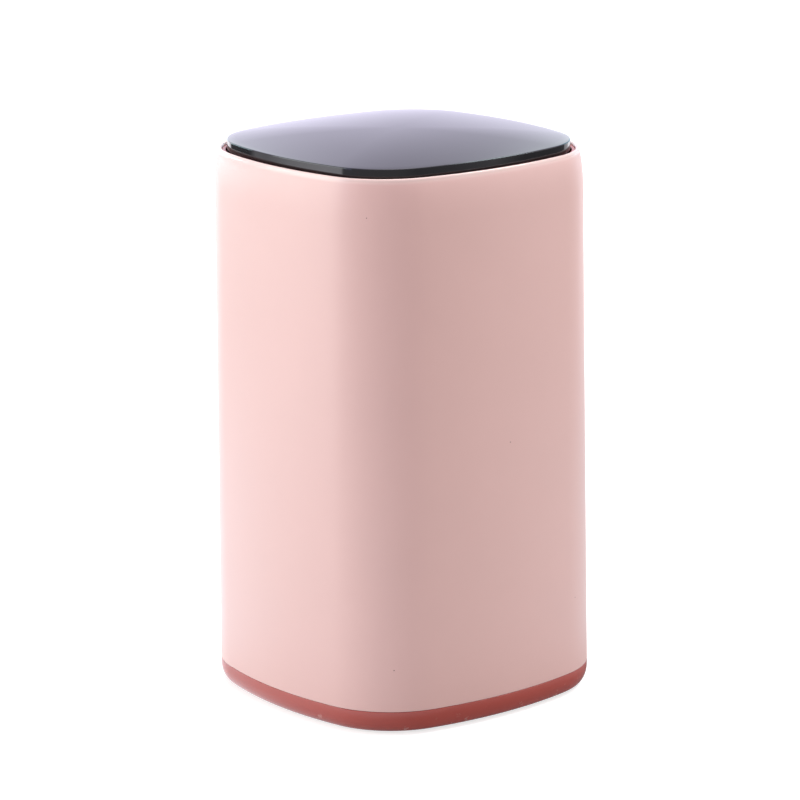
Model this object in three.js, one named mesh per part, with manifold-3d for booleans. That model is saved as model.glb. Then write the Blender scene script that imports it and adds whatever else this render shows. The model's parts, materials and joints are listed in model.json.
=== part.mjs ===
// Press-top toothpick dispenser: pink rounded-square case on a dark red base, under a gloss black domed lid.
// A push on the lid frees a heart-cam latch, and a spring lifts the lid and the tray of toothpicks below it.
// Millimetres, +Z up. The origin is the centre of the face that the dispenser stands on.
// It is drawn shut and latched. The lid, column, tray and cam plate rise together by liftTravel.
import * as THREE from "three";
import { mergeVertices } from "three/addons/utils/BufferGeometryUtils.js";
import Module from "manifold-3d";

const wasm = await Module();
wasm.setup();

// Case, with its outline measured where it meets the base
const caseHalfWidth = 32.25;
const caseSideArc = 79;
const caseCornerRadius = 17.7;
const caseHeight = 102.1;
const caseWall = 2;
const caseDraft = 0.75;
const shoulderHeight = 8.3;
const shoulderDepth = 1.3;
const lipLand = 0.25;
const lipDepth = 1.6;
const lipLedge = 0.35;

// Motion
const liftTravel = 42;
const pressTravel = 2;
const stopGap = 0.3;

// Fits between pieces
const seatGap = 0.1;
const seamGap = 0.05;
const fixedGap = 0.15;
const holeGap = 0.15;
const overrun = 1;

// Base and its feet
const padProud = 0.4;
const padRadius = 4;
const padThickness = 1.2;
const padEdgeRound = 0.3;
const baseBandHeight = 4.3;
const baseTuck = 1.95;
const baseRoundHeight = 3.3;
const baseFloor = 3;
const tongueHeight = 3.2;
const tongueWall = 1.2;
const cornerPadRadius = 4.2;
const cornerPadHeight = 1.6;
const springCupWall = 1.2;
const springCupHeight = 2.6;
const springCupGap = 0.5;

// Lid
const lidGap = 0.25;
const lidRise = 1.6;
const lidCrown = 2;
const lidSkirt = 4.5;
const lidWall = 1.4;
const lidRoof = 1.6;
const lidEdgeBreak = 0.1;
const crownFlatShare = 0.06;
const insertThickness = 1.8;
const insertRecess = 0.4;
const hubDrop = 3;
const hubRadius = 8.5;
const spigotRadius = 5.5;
const spigotHeight = 3;

// Barrel that lines the case, with the collar round the lid
const barrelSpace = 5.05;
const barrelWall = 1.6;
const collarGap = 0.15;
const collarWall = 0.6;
const collarDrop = 0.5;
const beadHeight = 2;
const deckThickness = 1.8;
const lidStopGap = 0.8;
const grooveWidth = 6;
const grooveDepth = 0.8;
const bossRadius = 2.7;
const bossHeight = 17;
const bossMerge = 0.3;
const bossWeb = 2.4;

// Tray and column
const trayGap = 0.4;
const trayWall = 1.3;
const trayHeight = 22;
const trayFloor = 2;
const trayDish = 3;
const trayRimRound = 0.5;
const lugSideGap = 0.3;
const lugHeight = 12;
const lugLift = 2;
const lugGap = 0.4;
const columnRadius = 6;
const columnWall = 1.4;
const columnFlange = 2;
const columnFlareLength = 30;
const springRingWall = 1.4;
const springRingDrop = 2.5;
const trayScrewRoom = 5.2;

// Post and spring
const postGap = 0.35;
const postFlangeGap = 1;
const postFlange = 2;
const postFoot = 11;
const postWall = 1.7;
const postTopGap = 0.8;
const springRestLength = 26.4;
const springGap = 0.6;
const wireRadius = 0.4;
const springTurns = 9;
const springEndPitch = 1.35;

// Heart-cam latch
const camGap = 0.6;
const camFootDepth = 5.6;
const camFootHalfLength = 9;
const camFoot = 2;
const camPlateOffset = 1.5;
const camPlate = 2.4;
const camPlateHalfWidth = 5.2;
const camPlateLength = 20;
const camGroove = 1.5;
const camPinDrop = 8;
const camCeilingGap = 0.3;
const heartHalfWidth = 2.6;
const heartHeight = 4.6;
const channelWidth = 1.4;
const neckWidth = 2.6;
const neckLength = 1.4;
const latchWireRadius = 0.5;
const latchWireBend = 1.6;
const pinTipGap = 0.3;
const bracketGap = 0.4;
const bracketWallGap = 0.65;
const bracketDepth = 2.8;
const bracketHalfWidth = 5.8;
const bracketHeight = 4.6;
const bracketScrewOffset = 3.9;
const wireSocketFloor = 1.2;

// Screws: head radius, head height, shank radius and length under the head
const baseScrew = { head: 2.6, headHeight: 1.35, shank: 1.3, length: 12 };
const postScrew = { head: 2.8, headHeight: 1, shank: 1.4, length: 9 };
const lidScrew = { head: 2.8, headHeight: 1.6, shank: 1.4, length: 8 };
const smallScrew = { head: 1.5, headHeight: 1.1, shank: 0.8, length: 4 };
const screwPoint = 0.8;
const driveSlotShare = 0.3;
const driveDepthShare = 0.5;
const driveReachShare = 0.6;

// How finely curves are cut
const cornerSteps = 5;
const sideSteps = 4;
const shoulderSteps = 5;
const crownSteps = 5;
const roundSteps = 40;
const columnSteps = 24;
const smallSteps = 10;
const coilSides = 5;
const coilStepsPerTurn = 8;
const latchWireSides = 8;
const latchBendSteps = 4;

// Levels, from the floor up
const baseBottom = padProud;
const seamZ = baseBottom + baseBandHeight;
const lipZ = seamZ + caseHeight;
const shoulderZ = lipZ - shoulderHeight;
const floorZ = baseBottom + baseFloor;
const padTopZ = padThickness;
const padRecessZ = padTopZ + seatGap;
const cornerPadZ = floorZ + cornerPadHeight;
const barrelBottomZ = cornerPadZ + seatGap;
const lidEdgeZ = lipZ + lidRise;
const lidTopZ = lidEdgeZ + lidCrown;
const lidBottomZ = lidEdgeZ - lidSkirt;
const deckZ = lidBottomZ - pressTravel - lidStopGap;
const insertBottomZ = lidBottomZ + insertRecess;
const insertTopZ = insertBottomZ + insertThickness;
const hubBottomZ = insertBottomZ - hubDrop;
const flangeBottomZ = floorZ + springRestLength + 2 * seatGap;
const trayBottomZ = flangeBottomZ + columnFlange + seatGap;
const columnTopZ = hubBottomZ - seatGap;
const boreTopZ = columnTopZ + spigotHeight - lidScrew.length;
const postTopZ = boreTopZ - pressTravel - postTopGap;
const camTopZ = trayBottomZ - seatGap;
const camFootZ = camTopZ - camFoot;
const pinZ = camFootZ - camPinDrop;
const lugTopZ = trayBottomZ + lugLift + lugHeight;
const grooveTopZ = lugTopZ + liftTravel + stopGap;

// Widths, from the case inwards
const shoulderHalf = caseHalfWidth - caseDraft;
const lipHalf = shoulderHalf - shoulderDepth;
const mouthHalf = lipHalf - lipLand;
const ledgeHalf = mouthHalf + lipLedge;
const innerHalf = caseHalfWidth - caseWall;
const collarHalf = mouthHalf - collarGap;
const collarInnerHalf = collarHalf - collarWall;
const lidHalf = collarInnerHalf - lidGap;
const insertHalf = lidHalf - lidWall - fixedGap;
const tongueHalf = innerHalf - fixedGap;
const barrelOuter = innerHalf - barrelSpace;
const barrelRadius = barrelOuter - barrelWall;
const trayRadius = barrelRadius - trayGap;
const bossReach = barrelOuter + bossRadius - bossMerge;

// From the column's bore outwards
const columnBore = columnRadius - columnWall;
const postRadius = columnBore - postGap;
const springRingRadius = columnRadius + springRingWall;
const springRadius = springRingRadius + springGap + wireRadius;
const postFlangeRadius = springRadius - wireRadius - postFlangeGap;
const springCupRadius = springRadius + wireRadius + springCupGap;
const columnFlangeRadius = springCupRadius + trayScrewRoom;
const trayScrewY = springCupRadius + trayScrewRoom / 2;

// From the barrel's wall inwards, along X: bracket, cam plate, its foot, and the flat that clears the foot
const bracketOuterX = Math.sqrt((barrelRadius - bracketWallGap) ** 2 - bracketHalfWidth ** 2);
const bracketX = bracketOuterX - bracketDepth;
const latchWireX = bracketX + bracketDepth / 2;
const camFaceX = bracketX - bracketGap;
const camPlateX = camFaceX - camPlate;
const camFootX = camPlateX - camPlateOffset;
const columnFlatX = camFootX - camGap;
const camScrewX = camFootX + camFootDepth / 2;
const camScrewY = (camPlateHalfWidth + camFootHalfLength) / 2;

// Heights of the screws and the bracket
const baseScrewZ = padRecessZ + holeGap + baseScrew.headHeight;
const postScrewZ = baseBottom + holeGap + postScrew.headHeight;
const bracketTopZ = floorZ + seatGap + bracketHeight;
const quarterTurns = [0, 1, 2, 3];
const cornerAngles = quarterTurns.map((turn) => Math.PI / 4 + (turn * Math.PI) / 2);

// Closed surface to solid and back, with each shared vertex kept once
function solid(geometry) {
  const plain = new THREE.BufferGeometry();
  const source = geometry.index ? geometry.toNonIndexed() : geometry;
  plain.setAttribute("position", source.getAttribute("position"));
  const merged = mergeVertices(plain);
  return new wasm.Manifold(
    new wasm.Mesh({
      numProp: 3,
      vertProperties: merged.attributes.position.array,
      triVerts: new Uint32Array(merged.index.array),
    }),
  );
}

function geometryOf(made) {
  const mesh = made.getMesh();
  const geometry = new THREE.BufferGeometry();
  geometry.setAttribute("position", new THREE.BufferAttribute(mesh.vertProperties, 3));
  geometry.setIndex(new THREE.BufferAttribute(mesh.triVerts, 1));
  const faceted = geometry.toNonIndexed();
  faceted.computeVertexNormals();
  return faceted;
}

const join = (first, ...others) => others.reduce((all, one) => all.add(one), first);
const cut = (first, ...others) => others.reduce((all, one) => all.subtract(one), first);

// Rounded-square outline with bowed sides, its middle half width given, as an even offset of the case's own
function squareOutline(half) {
  const inset = caseHalfWidth - half;
  const sideRadius = caseSideArc - inset;
  const cornerRadius = caseCornerRadius - inset;
  const sideCentre = caseHalfWidth - caseSideArc;
  const between = caseSideArc - caseCornerRadius;
  const cornerCentre = (sideCentre + Math.sqrt(2 * between ** 2 - sideCentre ** 2)) / 2;
  const meet = Math.atan2(cornerCentre, cornerCentre - sideCentre);
  const quarter = [];
  for (let i = 0; i < sideSteps; i++) {
    const angle = -meet + (2 * meet * i) / sideSteps;
    quarter.push([sideCentre + sideRadius * Math.cos(angle), sideRadius * Math.sin(angle)]);
  }
  for (let i = 0; i < cornerSteps; i++) {
    const angle = meet + ((Math.PI / 2 - 2 * meet) * i) / cornerSteps;
    quarter.push([
      cornerCentre + cornerRadius * Math.cos(angle),
      cornerCentre + cornerRadius * Math.sin(angle),
    ]);
  }
  return quarterTurns.flatMap((turn) =>
    quarter.map(([x, y]) => {
      const angle = (turn * Math.PI) / 2;
      return [x * Math.cos(angle) - y * Math.sin(angle), x * Math.sin(angle) + y * Math.cos(angle)];
    }),
  );
}

function middleOf(ring) {
  const sums = ring.reduce(([x, y, z], point) => [x + point[0], y + point[1], z + point[2]]);
  return sums.map((sum) => sum / ring.length);
}

// Solid under a skin of rings, each ring anticlockwise as seen from the end that the rings lead to
function skin(rings) {
  const [first, last] = [rings[0], rings[rings.length - 1]];
  const [firstMiddle, lastMiddle] = [middleOf(first), middleOf(last)];
  const faces = [];
  for (let i = 0; i < first.length; i++) {
    const next = (i + 1) % first.length;
    faces.push(firstMiddle, first[next], first[i]);
    for (let j = 0; j + 1 < rings.length; j++) {
      const [a, b, c, d] = [rings[j][i], rings[j][next], rings[j + 1][next], rings[j + 1][i]];
      faces.push(a, b, c, a, c, d);
    }
    faces.push(lastMiddle, last[i], last[next]);
  }
  const geometry = new THREE.BufferGeometry();
  geometry.setAttribute("position", new THREE.Float32BufferAttribute(faces.flat(), 3));
  return solid(geometry);
}

// Solid through rounded-square sections, lowest first: [half width, height, scale of the section]
function loft(levels) {
  const ringAt = ([half, z, scale = 1]) => squareOutline(half).map(([x, y]) => [x * scale, y * scale, z]);
  return skin(levels.map(ringAt));
}

// Round wire through points, with its sections turned square to the path about the direction across
function roundWire(points, radius, sides, across) {
  const rings = points.map((point, i) => {
    const before = points[Math.max(i - 1, 0)];
    const after = points[Math.min(i + 1, points.length - 1)];
    const ahead = after.clone().sub(before).normalize();
    const up = across.clone().cross(ahead).normalize();
    const side = ahead.clone().cross(up);
    return Array.from({ length: sides }, (_, j) => {
      const angle = (2 * Math.PI * j) / sides;
      const outward = up.clone().multiplyScalar(radius * Math.cos(angle));
      return outward.addScaledVector(side, radius * Math.sin(angle)).add(point).toArray();
    });
  });
  return skin(rings);
}

// Solid of revolution about Z from a closed profile of [radius, height], listed anticlockwise
function revolve(profile, steps = roundSteps) {
  const closed = profile.every(([radius]) => radius > 0) ? [...profile, profile[0]] : profile;
  const points = closed.map(([radius, z]) => new THREE.Vector2(radius, z));
  return solid(new THREE.LatheGeometry(points, steps).rotateX(Math.PI / 2));
}

// Upright round bar, between two heights
function bar(radius, bottom, top, x = 0, y = 0, steps = smallSteps) {
  const profile = [
    [0, bottom],
    [radius, bottom],
    [radius, top],
    [0, top],
  ];
  return revolve(profile, steps).translate([x, y, 0]);
}

function tube(outer, inner, bottom, top, steps = roundSteps) {
  const profile = [
    [inner, bottom],
    [outer, bottom],
    [outer, top],
    [inner, top],
  ];
  return revolve(profile, steps);
}

// Block between two corners
function block(low, high) {
  const size = high.map((value, i) => value - low[i]);
  const middle = high.map((value, i) => (value + low[i]) / 2);
  return solid(new THREE.BoxGeometry(...size)).translate(middle);
}

const atAngle = (made, angle) => made.rotate([0, 0, THREE.MathUtils.radToDeg(angle)]);

// Flat outline in Y and Z, made thick along X from one place to another
function plateAlongX(outline, from, to) {
  const shape = new THREE.Shape(outline.map(([y, z]) => new THREE.Vector2(y, z)));
  const geometry = new THREE.ExtrudeGeometry(shape, { depth: to - from, bevelEnabled: false });
  geometry.applyMatrix4(new THREE.Matrix4().set(0, 0, 1, from, 1, 0, 0, 0, 0, 1, 0, 0, 0, 0, 0, 1));
  return solid(geometry);
}

function outerShell() {
  const shoulder = [];
  for (let i = 1; i <= shoulderSteps; i++) {
    const angle = (Math.PI / 2) * (i / shoulderSteps);
    shoulder.push([
      lipHalf + shoulderDepth * Math.cos(angle),
      shoulderZ + shoulderHeight * Math.sin(angle),
    ]);
  }
  const outside = loft([[caseHalfWidth, seamZ], [shoulderHalf, shoulderZ], ...shoulder]);
  const ledgeZ = lipZ - lipDepth;
  const inside = loft([
    [innerHalf, seamZ - overrun],
    [innerHalf, seamZ],
    [ledgeHalf, ledgeZ],
    [mouthHalf, ledgeZ],
    [mouthHalf, lipZ + overrun],
  ]);
  return cut(outside, inside);
}

// Places of the four corner screws, each with its pad, recess and boss
const screwCorners = cornerAngles.map((angle) => [bossReach * Math.cos(angle), bossReach * Math.sin(angle)]);

function baseTray() {
  const rounding = [];
  for (let i = 0; i <= shoulderSteps; i++) {
    const angle = (Math.PI / 2) * (i / shoulderSteps);
    rounding.push([
      caseHalfWidth - baseTuck * (1 - Math.sin(angle)),
      baseBottom + baseRoundHeight * (1 - Math.cos(angle)),
    ]);
  }
  const outside = loft([...rounding, [caseHalfWidth, seamZ - seamGap]]);
  const tongue = loft([
    [tongueHalf, floorZ - overrun],
    [tongueHalf, seamZ + tongueHeight],
  ]);
  const inside = loft([
    [tongueHalf - tongueWall, floorZ],
    [tongueHalf - tongueWall, seamZ + tongueHeight + overrun],
  ]);
  let tray = cut(join(outside, tongue), inside);
  const cupOuter = springCupRadius + springCupWall;
  tray = join(tray, tube(cupOuter, springCupRadius, floorZ - seatGap, floorZ + springCupHeight));
  const headTopZ = baseScrewZ + seatGap;
  for (const [x, y] of screwCorners) {
    tray = join(tray, bar(cornerPadRadius, floorZ - seatGap, cornerPadZ, x, y, columnSteps));
    tray = cut(
      tray,
      bar(padRadius + fixedGap, baseBottom - overrun, padRecessZ, x, y, columnSteps),
      bar(baseScrew.head + holeGap, baseBottom, headTopZ, x, y, columnSteps),
      bar(baseScrew.shank + holeGap, baseBottom, cornerPadZ + overrun, x, y),
    );
  }
  tray = cut(
    tray,
    bar(postScrew.head + holeGap, baseBottom - overrun, postScrewZ + seatGap, 0, 0, columnSteps),
    bar(postScrew.shank + holeGap, baseBottom, floorZ + overrun),
  );
  const blindZ = bracketTopZ - smallScrew.length - seatGap;
  for (const side of [-1, 1]) {
    const y = side * bracketScrewOffset;
    tray = cut(tray, bar(smallScrew.shank + holeGap, blindZ, floorZ + overrun, latchWireX, y));
  }
  return tray;
}

function footPad(x, y) {
  const profile = [
    [0, 0],
    [padRadius - padEdgeRound, 0],
    [padRadius, padEdgeRound],
    [padRadius, padTopZ],
    [0, padTopZ],
  ];
  return revolve(profile, columnSteps).translate([x, y, 0]);
}

// Pan-head screw standing on its tip's end: the head's bearing face is at height 0 and the shank points up
function screwPointingUp({ head, headHeight, shank, length }) {
  const profile = [
    [0, -headHeight],
    [head - screwPoint / 2, -headHeight],
    [head, -headHeight / 2],
    [head, 0],
    [shank, 0],
    [shank, length - screwPoint],
    [0, length],
  ];
  const slot = head * driveSlotShare;
  const reach = head * driveReachShare;
  const depth = headHeight * driveDepthShare;
  const lower = -headHeight - overrun;
  return cut(
    revolve(profile, smallSteps),
    block([-reach, -slot / 2, lower], [reach, slot / 2, depth - headHeight]),
    block([-slot / 2, -reach, lower], [slot / 2, reach, depth - headHeight]),
  );
}

const screwPointingDown = (screw) => screwPointingUp(screw).rotate([180, 0, 0]);

function innerBarrel() {
  const deckBottomZ = deckZ - deckThickness;
  const beadTopZ = lipZ - lipDepth - seatGap;
  const beadHalf = ledgeHalf - collarGap;
  const outside = loft([
    [collarHalf, deckBottomZ],
    [collarHalf, beadTopZ - beadHeight],
    [beadHalf, beadTopZ - beadHeight + lipLedge],
    [beadHalf, beadTopZ],
    [collarHalf, beadTopZ],
    [collarHalf, lipZ - collarDrop],
  ]);
  const lidSpace = loft([
    [collarInnerHalf, deckZ],
    [collarInnerHalf, lipZ + overrun],
  ]);
  let barrel = cut(outside, lidSpace);
  barrel = join(barrel, bar(barrelOuter, barrelBottomZ, deckZ, 0, 0, roundSteps));
  const bossTopZ = barrelBottomZ + bossHeight;
  screwCorners.forEach(([x, y], i) => {
    const web = block([0, -bossWeb / 2, barrelBottomZ], [bossReach, bossWeb / 2, bossTopZ]);
    barrel = join(
      barrel,
      atAngle(web, cornerAngles[i]),
      bar(bossRadius, barrelBottomZ, bossTopZ, x, y, columnSteps),
    );
    barrel = cut(barrel, bar(baseScrew.shank + holeGap, barrelBottomZ - overrun, bossTopZ - overrun, x, y));
  });
  barrel = cut(barrel, bar(barrelRadius, barrelBottomZ - overrun, deckZ + overrun, 0, 0, roundSteps));
  for (const turn of quarterTurns) {
    const groove = block(
      [0, -grooveWidth / 2, barrelBottomZ - overrun],
      [barrelRadius + grooveDepth, grooveWidth / 2, grooveTopZ],
    );
    barrel = cut(barrel, atAngle(groove, (turn * Math.PI) / 2));
  }
  return barrel;
}

function lidCap() {
  const crown = [];
  for (let i = 0; i <= crownSteps; i++) {
    const scale = 1 - i / (crownSteps + 1);
    crown.push([scale, 1 - scale ** 2]);
  }
  const edgeHalf = lidHalf - lidEdgeBreak;
  const outside = loft([
    [lidHalf, lidBottomZ],
    [lidHalf, lidEdgeZ - lidEdgeBreak],
    ...crown.map(([scale, rise]) => [edgeHalf, lidEdgeZ + lidCrown * rise, scale]),
    [edgeHalf, lidTopZ, crownFlatShare],
  ]);
  const inside = loft([
    [lidHalf - lidWall, lidBottomZ - overrun],
    ...crown.map(([scale, rise]) => [lidHalf - lidWall, lidEdgeZ - lidRoof + lidCrown * rise, scale]),
    [lidHalf - lidWall, lidTopZ - lidRoof, crownFlatShare],
  ]);
  return cut(outside, inside);
}

function lidInsert() {
  const plate = loft([
    [insertHalf, insertBottomZ],
    [insertHalf, insertTopZ],
  ]);
  const hub = bar(hubRadius, hubBottomZ, insertTopZ, 0, 0, columnSteps);
  const socketTopZ = columnTopZ + spigotHeight + seatGap;
  return cut(
    join(plate, hub),
    bar(spigotRadius + holeGap, hubBottomZ - overrun, socketTopZ, 0, 0, columnSteps),
    bar(lidScrew.shank + holeGap, hubBottomZ, insertTopZ + overrun),
  );
}

function centreColumn() {
  const flareBottomZ = columnTopZ - columnFlareLength;
  const flare = [];
  for (let i = 0; i <= shoulderSteps; i++) {
    const share = i / shoulderSteps;
    const radius = columnRadius + (hubRadius - columnRadius) * share ** 2;
    flare.push([radius, flareBottomZ + columnFlareLength * share]);
  }
  const profile = [
    [columnBore, flangeBottomZ - springRingDrop],
    [springRingRadius, flangeBottomZ - springRingDrop],
    [springRingRadius, flangeBottomZ],
    [columnFlangeRadius, flangeBottomZ],
    [columnFlangeRadius, flangeBottomZ + columnFlange],
    [columnRadius, flangeBottomZ + columnFlange],
    ...flare,
    [spigotRadius, columnTopZ],
    [spigotRadius, columnTopZ + spigotHeight],
    [lidScrew.shank + holeGap, columnTopZ + spigotHeight],
    [lidScrew.shank + holeGap, boreTopZ],
    [columnBore, boreTopZ],
  ];
  const [below, above] = [flangeBottomZ - overrun, flangeBottomZ + columnFlange + overrun];
  const flatCutter = block(
    [columnFlatX, -columnFlangeRadius, below],
    [columnFlatX + columnFlangeRadius, columnFlangeRadius, above],
  );
  const holeAt = (side) => bar(smallScrew.shank + holeGap, below, above, 0, side * trayScrewY);
  return cut(revolve(profile, columnSteps), flatCutter, holeAt(-1), holeAt(1));
}

function pickTray() {
  const wallTopZ = trayBottomZ + trayHeight;
  const wallInner = trayRadius - trayWall;
  const profile = [
    [columnRadius + fixedGap, trayBottomZ],
    [trayRadius, trayBottomZ],
    [trayRadius, wallTopZ - trayRimRound],
    [trayRadius - trayRimRound, wallTopZ],
    [wallInner + trayRimRound / 2, wallTopZ],
    [wallInner, wallTopZ - trayRimRound],
    [wallInner, trayBottomZ + trayFloor + trayDish],
    [columnRadius + fixedGap, trayBottomZ + trayFloor],
  ];
  let tray = revolve(profile);
  const lugHalf = grooveWidth / 2 - lugSideGap;
  for (const turn of quarterTurns) {
    const lug = block(
      [trayRadius - trayWall / 2, -lugHalf, trayBottomZ + lugLift],
      [barrelRadius + grooveDepth - lugGap, lugHalf, lugTopZ],
    );
    tray = join(tray, atAngle(lug, (turn * Math.PI) / 2));
  }
  const pilot = smallScrew.shank + holeGap;
  for (const side of [-1, 1]) {
    const depthFromFlange = smallScrew.length - columnFlange + seatGap;
    const depthFromCam = smallScrew.length - camFoot + seatGap;
    tray = cut(
      tray,
      bar(pilot, trayBottomZ - overrun, trayBottomZ + depthFromFlange, 0, side * trayScrewY),
      bar(pilot, trayBottomZ - overrun, trayBottomZ + depthFromCam, camScrewX, side * camScrewY),
    );
  }
  return tray;
}

function guidePost() {
  const bottom = floorZ + seatGap;
  const profile = [
    [postScrew.shank + holeGap, bottom],
    [postFlangeRadius, bottom],
    [postFlangeRadius, bottom + postFlange],
    [postRadius, bottom + postFlange],
    [postRadius, postTopZ],
    [postRadius - postWall, postTopZ],
    [postRadius - postWall, bottom + postFoot],
    [postScrew.shank + holeGap, bottom + postFoot],
  ];
  return revolve(profile, columnSteps);
}

// Centre line of the spring: a close turn at each end, open turns between, and both ends run out straight
function springLine() {
  const bottom = floorZ + seatGap + wireRadius;
  const top = flangeBottomZ - seatGap - wireRadius;
  const openPitch = (top - bottom - 2 * springEndPitch) / (springTurns - 2);
  const steps = springTurns * coilStepsPerTurn;
  const line = [];
  for (let i = 0; i <= steps; i++) {
    const turn = i / coilStepsPerTurn;
    const open = Math.min(Math.max(turn - 1, 0), springTurns - 2);
    const close = turn - open;
    const angle = 2 * Math.PI * turn;
    const z = bottom + openPitch * open + springEndPitch * close;
    line.push(new THREE.Vector3(springRadius * Math.cos(angle), springRadius * Math.sin(angle), z));
  }
  const tail = 2 * wireRadius;
  line.unshift(new THREE.Vector3(springRadius, -tail, bottom));
  line.push(new THREE.Vector3(springRadius, tail, top));
  return line;
}

// Least gap of the wire to itself, over centre points at least half a turn apart
function leastGap(line) {
  let least = Infinity;
  for (let i = 0; i < line.length; i++) {
    for (let j = i + coilStepsPerTurn / 2; j < line.length; j++) {
      least = Math.min(least, line[i].distanceTo(line[j]) - 2 * wireRadius);
    }
  }
  return least;
}

function mainSpring() {
  const line = springLine();
  console.log(`main_spring: least gap to itself ${leastGap(line).toFixed(2)} mm`);
  return roundWire(line, wireRadius, coilSides, new THREE.Vector3(0, 0, 1));
}

// Heart of the cam as shares of its half width and height, from the notch under the pin's resting place
const heartShares = [
  [0, -0.19],
  [-0.38, 0],
  [-0.78, -0.08],
  [-1, -0.3],
  [-0.76, -0.62],
  [0, -1],
  [0.76, -0.62],
  [1, -0.3],
  [0.96, -0.02],
  [0.8, 0.05],
];

// Tooth over the notch, across as shares of the heart's half width and down as a share of the press travel
const toothLeftShare = 0.25;
const toothRightShare = 0.48;
const toothTipShare = 0.33;
const toothTipRiseShare = 0.6;
const ceilingLeftShare = 0.95;
const ceilingRightShare = 1.1;

function camPlateWithFoot() {
  const plate = block(
    [camPlateX, -camPlateHalfWidth, camFootZ - camPlateLength],
    [camFaceX, camPlateHalfWidth, camTopZ],
  );
  const foot = block(
    [camFootX, -camFootHalfLength, camFootZ],
    [camFootX + camFootDepth, camFootHalfLength, camTopZ],
  );
  const trackHalf = heartHalfWidth + channelWidth;
  const ceilingZ = pinZ + pressTravel + latchWireRadius + camCeilingGap;
  const heartFootZ = pinZ - heartHeight;
  const neckTopZ = heartFootZ - channelWidth;
  const neckBottomZ = neckTopZ - neckLength;
  const mouthZ = camFootZ - camPlateLength - overrun;
  const track = [
    [-trackHalf, mouthZ],
    [trackHalf, mouthZ],
    [neckWidth / 2, neckBottomZ],
    [neckWidth / 2, neckTopZ],
    [trackHalf, pinZ - heartHeight / 2],
    [trackHalf, pinZ + channelWidth],
    [heartHalfWidth * ceilingRightShare, ceilingZ],
    [heartHalfWidth * toothRightShare, ceilingZ],
    [heartHalfWidth * toothTipShare, pinZ + pressTravel * toothTipRiseShare],
    [heartHalfWidth * toothLeftShare, ceilingZ],
    [-heartHalfWidth * ceilingLeftShare, ceilingZ],
    [-trackHalf, pinZ + channelWidth],
    [-trackHalf, pinZ - heartHeight / 2],
    [-neckWidth / 2, neckTopZ],
    [-neckWidth / 2, neckBottomZ],
  ];
  const heart = heartShares.map(([across, up]) => [across * heartHalfWidth, pinZ + up * heartHeight]);
  const groove = cut(
    plateAlongX(track, camFaceX - camGroove, camFaceX + overrun),
    plateAlongX(heart, camFaceX - camGroove - overrun, camFaceX + 2 * overrun),
  );
  let cam = cut(join(plate, foot), groove);
  for (const side of [-1, 1]) {
    const y = side * camScrewY;
    cam = cut(cam, bar(smallScrew.shank + holeGap, camFootZ - overrun, camTopZ + overrun, camScrewX, y));
  }
  return cam;
}

function latchBracket() {
  const bottom = floorZ + seatGap;
  const body = block(
    [bracketX, -bracketHalfWidth, bottom],
    [bracketX + bracketDepth, bracketHalfWidth, bracketTopZ],
  );
  let bracket = cut(
    body,
    bar(latchWireRadius + holeGap, bottom + wireSocketFloor, bracketTopZ + overrun, latchWireX, 0),
  );
  for (const side of [-1, 1]) {
    const y = side * bracketScrewOffset;
    const hole = bar(smallScrew.shank + holeGap, bottom - overrun, bracketTopZ + overrun, latchWireX, y);
    bracket = cut(bracket, hole);
  }
  return bracket;
}

// Spring wire that stands in the bracket, with its bent tip resting in the notch of the heart
function latchWire() {
  const at = (x, z) => new THREE.Vector3(x, 0, z);
  const bend = new THREE.QuadraticBezierCurve3(
    at(latchWireX, pinZ - latchWireBend),
    at(latchWireX, pinZ),
    at(latchWireX - latchWireBend, pinZ),
  );
  const foot = at(latchWireX, floorZ + seatGap + wireSocketFloor + seatGap);
  const tip = at(camFaceX - camGroove + pinTipGap, pinZ);
  const line = [foot, ...bend.getPoints(latchBendSteps), tip];
  return roundWire(line, latchWireRadius, latchWireSides, new THREE.Vector3(0, 1, 0));
}

const finishes = {
  pinkCase: { color: "#e3b6ae", roughness: 0.45, metalness: 0 },
  redPlastic: { color: "#a3433f", roughness: 0.5, metalness: 0 },
  blackGloss: { color: "#101014", roughness: 0.06, metalness: 0 },
  whiteAcetal: { color: "#e9e6df", roughness: 0.4, metalness: 0 },
  zincSteel: { color: "#b9bcc0", roughness: 0.35, metalness: 1 },
  springSteel: { color: "#8d9095", roughness: 0.3, metalness: 1 },
  padRubber: { color: "#3a3838", roughness: 0.9, metalness: 0 },
};
const materials = Object.fromEntries(
  Object.entries(finishes).map(([name, finish]) => [name, new THREE.MeshStandardMaterial(finish)]),
);

function piece(name, made, material, place = [0, 0, 0]) {
  const mesh = new THREE.Mesh(geometryOf(made), materials[material]);
  mesh.name = name;
  mesh.position.set(...place);
  return mesh;
}

// What stays put
const standing = new THREE.Group();
standing.add(
  piece("outer_shell", outerShell(), "pinkCase"),
  piece("inner_barrel", innerBarrel(), "redPlastic"),
  piece("base_tray", baseTray(), "redPlastic"),
  piece("guide_post", guidePost(), "whiteAcetal"),
  piece("post_screw", screwPointingUp(postScrew), "zincSteel", [0, 0, postScrewZ]),
  piece("main_spring", mainSpring(), "springSteel"),
  piece("latch_bracket", latchBracket(), "whiteAcetal"),
  piece("latch_wire", latchWire(), "springSteel"),
);
screwCorners.forEach(([x, y], i) => {
  standing.add(
    piece(`foot_pad_${i + 1}`, footPad(x, y), "padRubber"),
    piece(`base_screw_${i + 1}`, screwPointingUp(baseScrew), "zincSteel", [x, y, baseScrewZ]),
  );
});

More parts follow.
